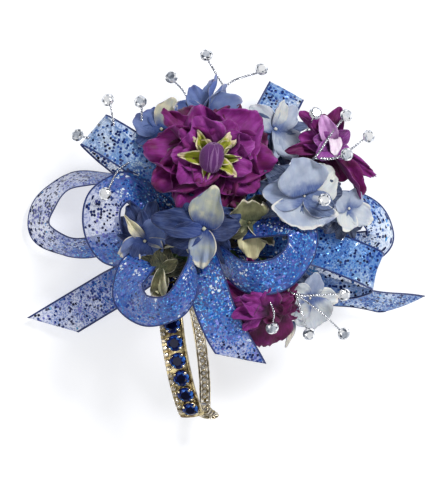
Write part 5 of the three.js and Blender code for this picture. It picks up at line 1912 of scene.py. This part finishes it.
STRIPS = (
    BowRibbon("bow_loop_upper_left", (-1, 0.4), (-1, -0.1), (
        (-0.26, 0.2, 0.58, 20, 0.8, 0.6), (-0.4, 0.38, 0.6, 5, 1, 0.35),
        (-0.56, 0.49, 0.57, 0, 1, 0.15, 50), (-0.64, 0.53, 0.47, 0, 1, 0.1, 50),
        (-0.56, 0.45, 0.37, 0, 1, 0.0, 50), (-0.4, 0.3, 0.38, 0, 0.9, 0.1, 50),
    ), lit=True),
    BowRibbon("bow_loop_left", (-1, -0.35), (-1, -0.85), (
        (-0.36, 0.16, 0.3, 30, 0.7, 0.6), (-0.56, 0.29, 0.22, 70, 1, 0.5),
        (-0.76, 0.28, 0.15, 66, 1, 0.2), (-0.9, 0.16, 0.11, 50, 1, 0.0),
        (-0.91, 0.03, 0.11, 50, 1, 0.05), (-0.78, -0.05, 0.15, 58, 1, 0.35),
        (-0.5, -0.03, 0.22, 60, 0.9, 0.7),
    )),
    BowRibbon("bow_loop_middle_left", (-1, 0.65), (-1, 0.15), (
        (-0.3, 0.13, 0.66, 30, 0.8, 0.9), (-0.46, 0.25, 0.72, 40, 1, 0.7),
        (-0.58, 0.18, 0.76, 20, 1, 0.1), (-0.59, 0.04, 0.76, 10, 1, 0.05),
        (-0.53, -0.07, 0.68, 30, 1, 0.6), (-0.38, -0.08, 0.58, 40, 0.8, 0.8),
    )),
    BowRibbon("bow_loop_lower_left", (-1, 0.88), (0, -0.45), (
        (-0.3, -0.07, 0.76, 30, 0.7, 0.8), (-0.42, -0.14, 0.96, 35, 1, 0.6),
        (-0.46, -0.27, 1.12, 30, 1, 0.55), (-0.38, -0.36, 1.2, 40, 1, 0.55),
        (-0.24, -0.34, 1.26, 45, 1, 0.6), (-0.15, -0.2, 1.22, 60, 0.9, 0.7),
        (-0.15, -0.08, 0.96, 80, 0.6, 0.8),
    )),
    # The ring's far band and end have depths over 1: painted shade.
    BowRibbon("bow_loop_ring", (0, 0.45), (1, 0.8), (
        (-0.04, -0.08, 0.9, 60, 0.8, 0.85), (0.12, -0.2, 1.06, 35, 1, 0.75),
        (0.28, -0.18, 1.08, 30, 1, 0.7), (0.39, -0.06, 1.06, 40, 1, 0.65),
        (0.38, 0.04, 1.02, 42, 1, 0.9), (0.27, 0.08, 0.97, 36, 1, 1.5),
        (0.1, 0.06, 0.86, 36, 0.9, 1.5),
    ), last_depth=1.2),
    BowRibbon("bow_loop_right", (1, 0.3), (1, 0.05), (
        (0.12, 0.06, 0.48, -20, 0.8, 0.8), (0.42, 0.15, 0.46, -40, 1, 0.6),
        (0.66, 0.16, 0.4, -50, 1, 0.3), (0.77, 0.08, 0.34, -44, 1, 0.1),
        (0.78, -0.01, 0.32, -36, 1, 0.05), (0.68, -0.06, 0.32, -30, 1, 0.3),
        (0.36, -0.03, 0.4, -30, 0.9, 0.7),
    ), lit=True),
    BowRibbon("bow_loop_lower_right", (1, 0.55), (1, -0.2), (
        (0.16, -0.02, 0.64, 5, 0.8, 0.8), (0.43, -0.04, 0.66, 0, 1, 0.6),
        (0.64, -0.11, 0.6, 0, 1, 0.35), (0.76, -0.17, 0.48, 0, 1, 0.25, 75),
        (0.7, -0.2, 0.34, 0, 1, 0.0, 75), (0.56, -0.21, 0.26, 0, 1, 0.05, 75),
        (0.26, -0.12, 0.32, 0, 0.9, 0.4, 75),
    ), lit=True),
    BowRibbon("bow_loop_top", (1, -0.45), (1, -0.95), (
        (0.04, 0.1, 0.32, 0, 0.7, 0.7), (0.13, 0.36, 0.34, 0, 1, 0.4, -29),
        (0.25, 0.6, 0.36, 0, 1, 0.2, -29), (0.32, 0.73, 0.22, 0, 1, 0.15, -29),
        (0.28, 0.65, 0.06, 0, 1, 0.1, -29), (0.2, 0.48, 0.005, 0, 1, 0.2, -29),
        (0.1, 0.2, 0.1, 0, 0.9, 0.6, -29),
    ), lit=True),
    BowRibbon("bow_tail_left", (-1, -0.6), None, (
        (-0.36, -0.14, 0.36, 20, 0.9, 0.7), (-0.55, -0.26, 0.2, 10, 1, 0.45),
        (-0.7, -0.35, 0.06, 0, 1, 0.3), (-0.85, -0.44, 0.025, 0, 1, 0.2),
    ), longer_side=-1),
    BowRibbon("bow_tail_bottom", (0, 0), None, (
        (-0.1, -0.1, 0.96, 30, 0.8, 0.95), (-0.07, -0.25, 1.04, 0, 1, 0.9),
        (-0.01, -0.42, 0.94, 0, 1, 0.75), (0.09, -0.6, 0.8, 0, 1, 0.2),
    ), longer_side=1),
    BowRibbon("bow_tail_right", (1, -0.7), None, (
        (0.3, -0.2, 0.14, 20, 0.9, 0.7), (0.6, -0.29, 0.12, 52, 1, 0.4),
        (0.76, -0.32, 0.125, 58, 1, 0.3), (0.91, -0.34, 0.125, 58, 1, 0.4),
    ), longer_side=1, lit=True),
)


# The setting


@dataclass(frozen=True)
class TableFinish(Finish):
    """A white surface that glows a little, like lit paper."""

    def paint(self, g: Graph) -> Sockets:
        """Lays a faint cloud over the white."""
        cloud = g.noise(g.object_place(), 3.0)
        return {
            "Base Color": g.mix(cloud, colour("bdbec2"), colour("c4c4c6")), "Roughness": 0.6,
            "Specular IOR Level": 0.2, "Emission Strength": 0.62,
            "Emission Color": g.mix(cloud, colour("f6f7fa"), colour("fbfbfb")),
        }


@dataclass
class Studio:
    """A pale floor, soft lights and a camera that looks straight down."""

    height: float = 2.03
    view_height: float = 0.2  # what the picture's long side takes in
    focus_height: float = 0.03
    sensor: float = 36.0
    below: float = 5.2 * MM  # from the crossing point to the middle of the picture
    floor_reach: float = 3.0
    floor_drop: float = 4.3 * MM  # room for the far arm, which opens downwards

    def build(self) -> None:
        """Builds the floor, the lights and the camera."""
        self.build_floor()
        self.build_lights()
        data = bpy.data.cameras.new("camera")
        data.sensor_width = self.sensor
        data.lens = self.sensor * (self.height - self.focus_height) / self.view_height
        camera = place_in_scene("camera", data)
        camera.location = CROSSING + Vector((0.0, -self.below, self.height))
        bpy.context.scene.camera = camera

    def build_floor(self) -> None:
        """Builds the white surface under the corsage."""
        far, low = self.floor_reach, -self.floor_drop
        mesh = bpy.data.meshes.new("floor")
        corners = [(-far, -far, low), (far, -far, low), (far, far, low), (-far, far, low)]
        mesh.from_pydata(corners, [], [(0, 1, 2, 3)])
        mesh.materials.append(TableFinish("white_table").material())
        place_in_scene("floor", mesh)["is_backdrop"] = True

    def build_lights(self) -> None:
        """Builds a soft key light from the upper right, a fill light and a pale sky."""
        for name, place, size, power in (
            ("key_light", (0.7, 0.8, 1.3), 0.45, 22.0),
            ("fill_light", (-0.9, -0.5, 1.4), 0.9, 5.0),
            ("front_light", (0.2, -1.2, 0.9), 0.5, 3.5),
        ):
            data = bpy.data.lights.new(name, "AREA")
            data.energy = power
            data.energy, data.size = power, size
            light = place_in_scene(name, data)
            light.location = place
            light.rotation_mode = "QUATERNION"
            light.rotation_quaternion = (-Vector(place)).to_track_quat("-Z", "Y")
        world = bpy.data.worlds.new("sky")
        world.use_nodes = True
        background = world.node_tree.nodes["Background"]
        background.inputs[0].default_value = colour("eef1f6")
        background.inputs[1].default_value = 0.36
        bpy.context.scene.world = world
        bpy.context.scene.view_settings.view_transform = "Standard"


def build_corsage() -> None:
    """Builds every part of the corsage."""
    shop = Workshop()
    cuff, bundle = Cuff(), Bundle()
    cuff.build(shop)
    bundle.locate(cuff)
    for part in (bundle, Spray(), *BLOOMS, *FLORETS):
        part.build(shop)
    for strip in STRIPS:
        strip.build(shop, bundle)


def write_sizes() -> None:
    """Works out the box of the solids and the box of what is seen."""
    boxes = {"cad": cad_box, "visual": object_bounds()}
    boxes = {name: [list(corner) for corner in box] for name, box in boxes.items()}


def main() -> None:
    """Builds the corsage and the setting that it is seen in."""
    logging.basicConfig(level=logging.INFO, format="%(message)s")
    Studio().build()
    build_corsage()
    write_sizes()


if __name__ == "__main__":
    main()
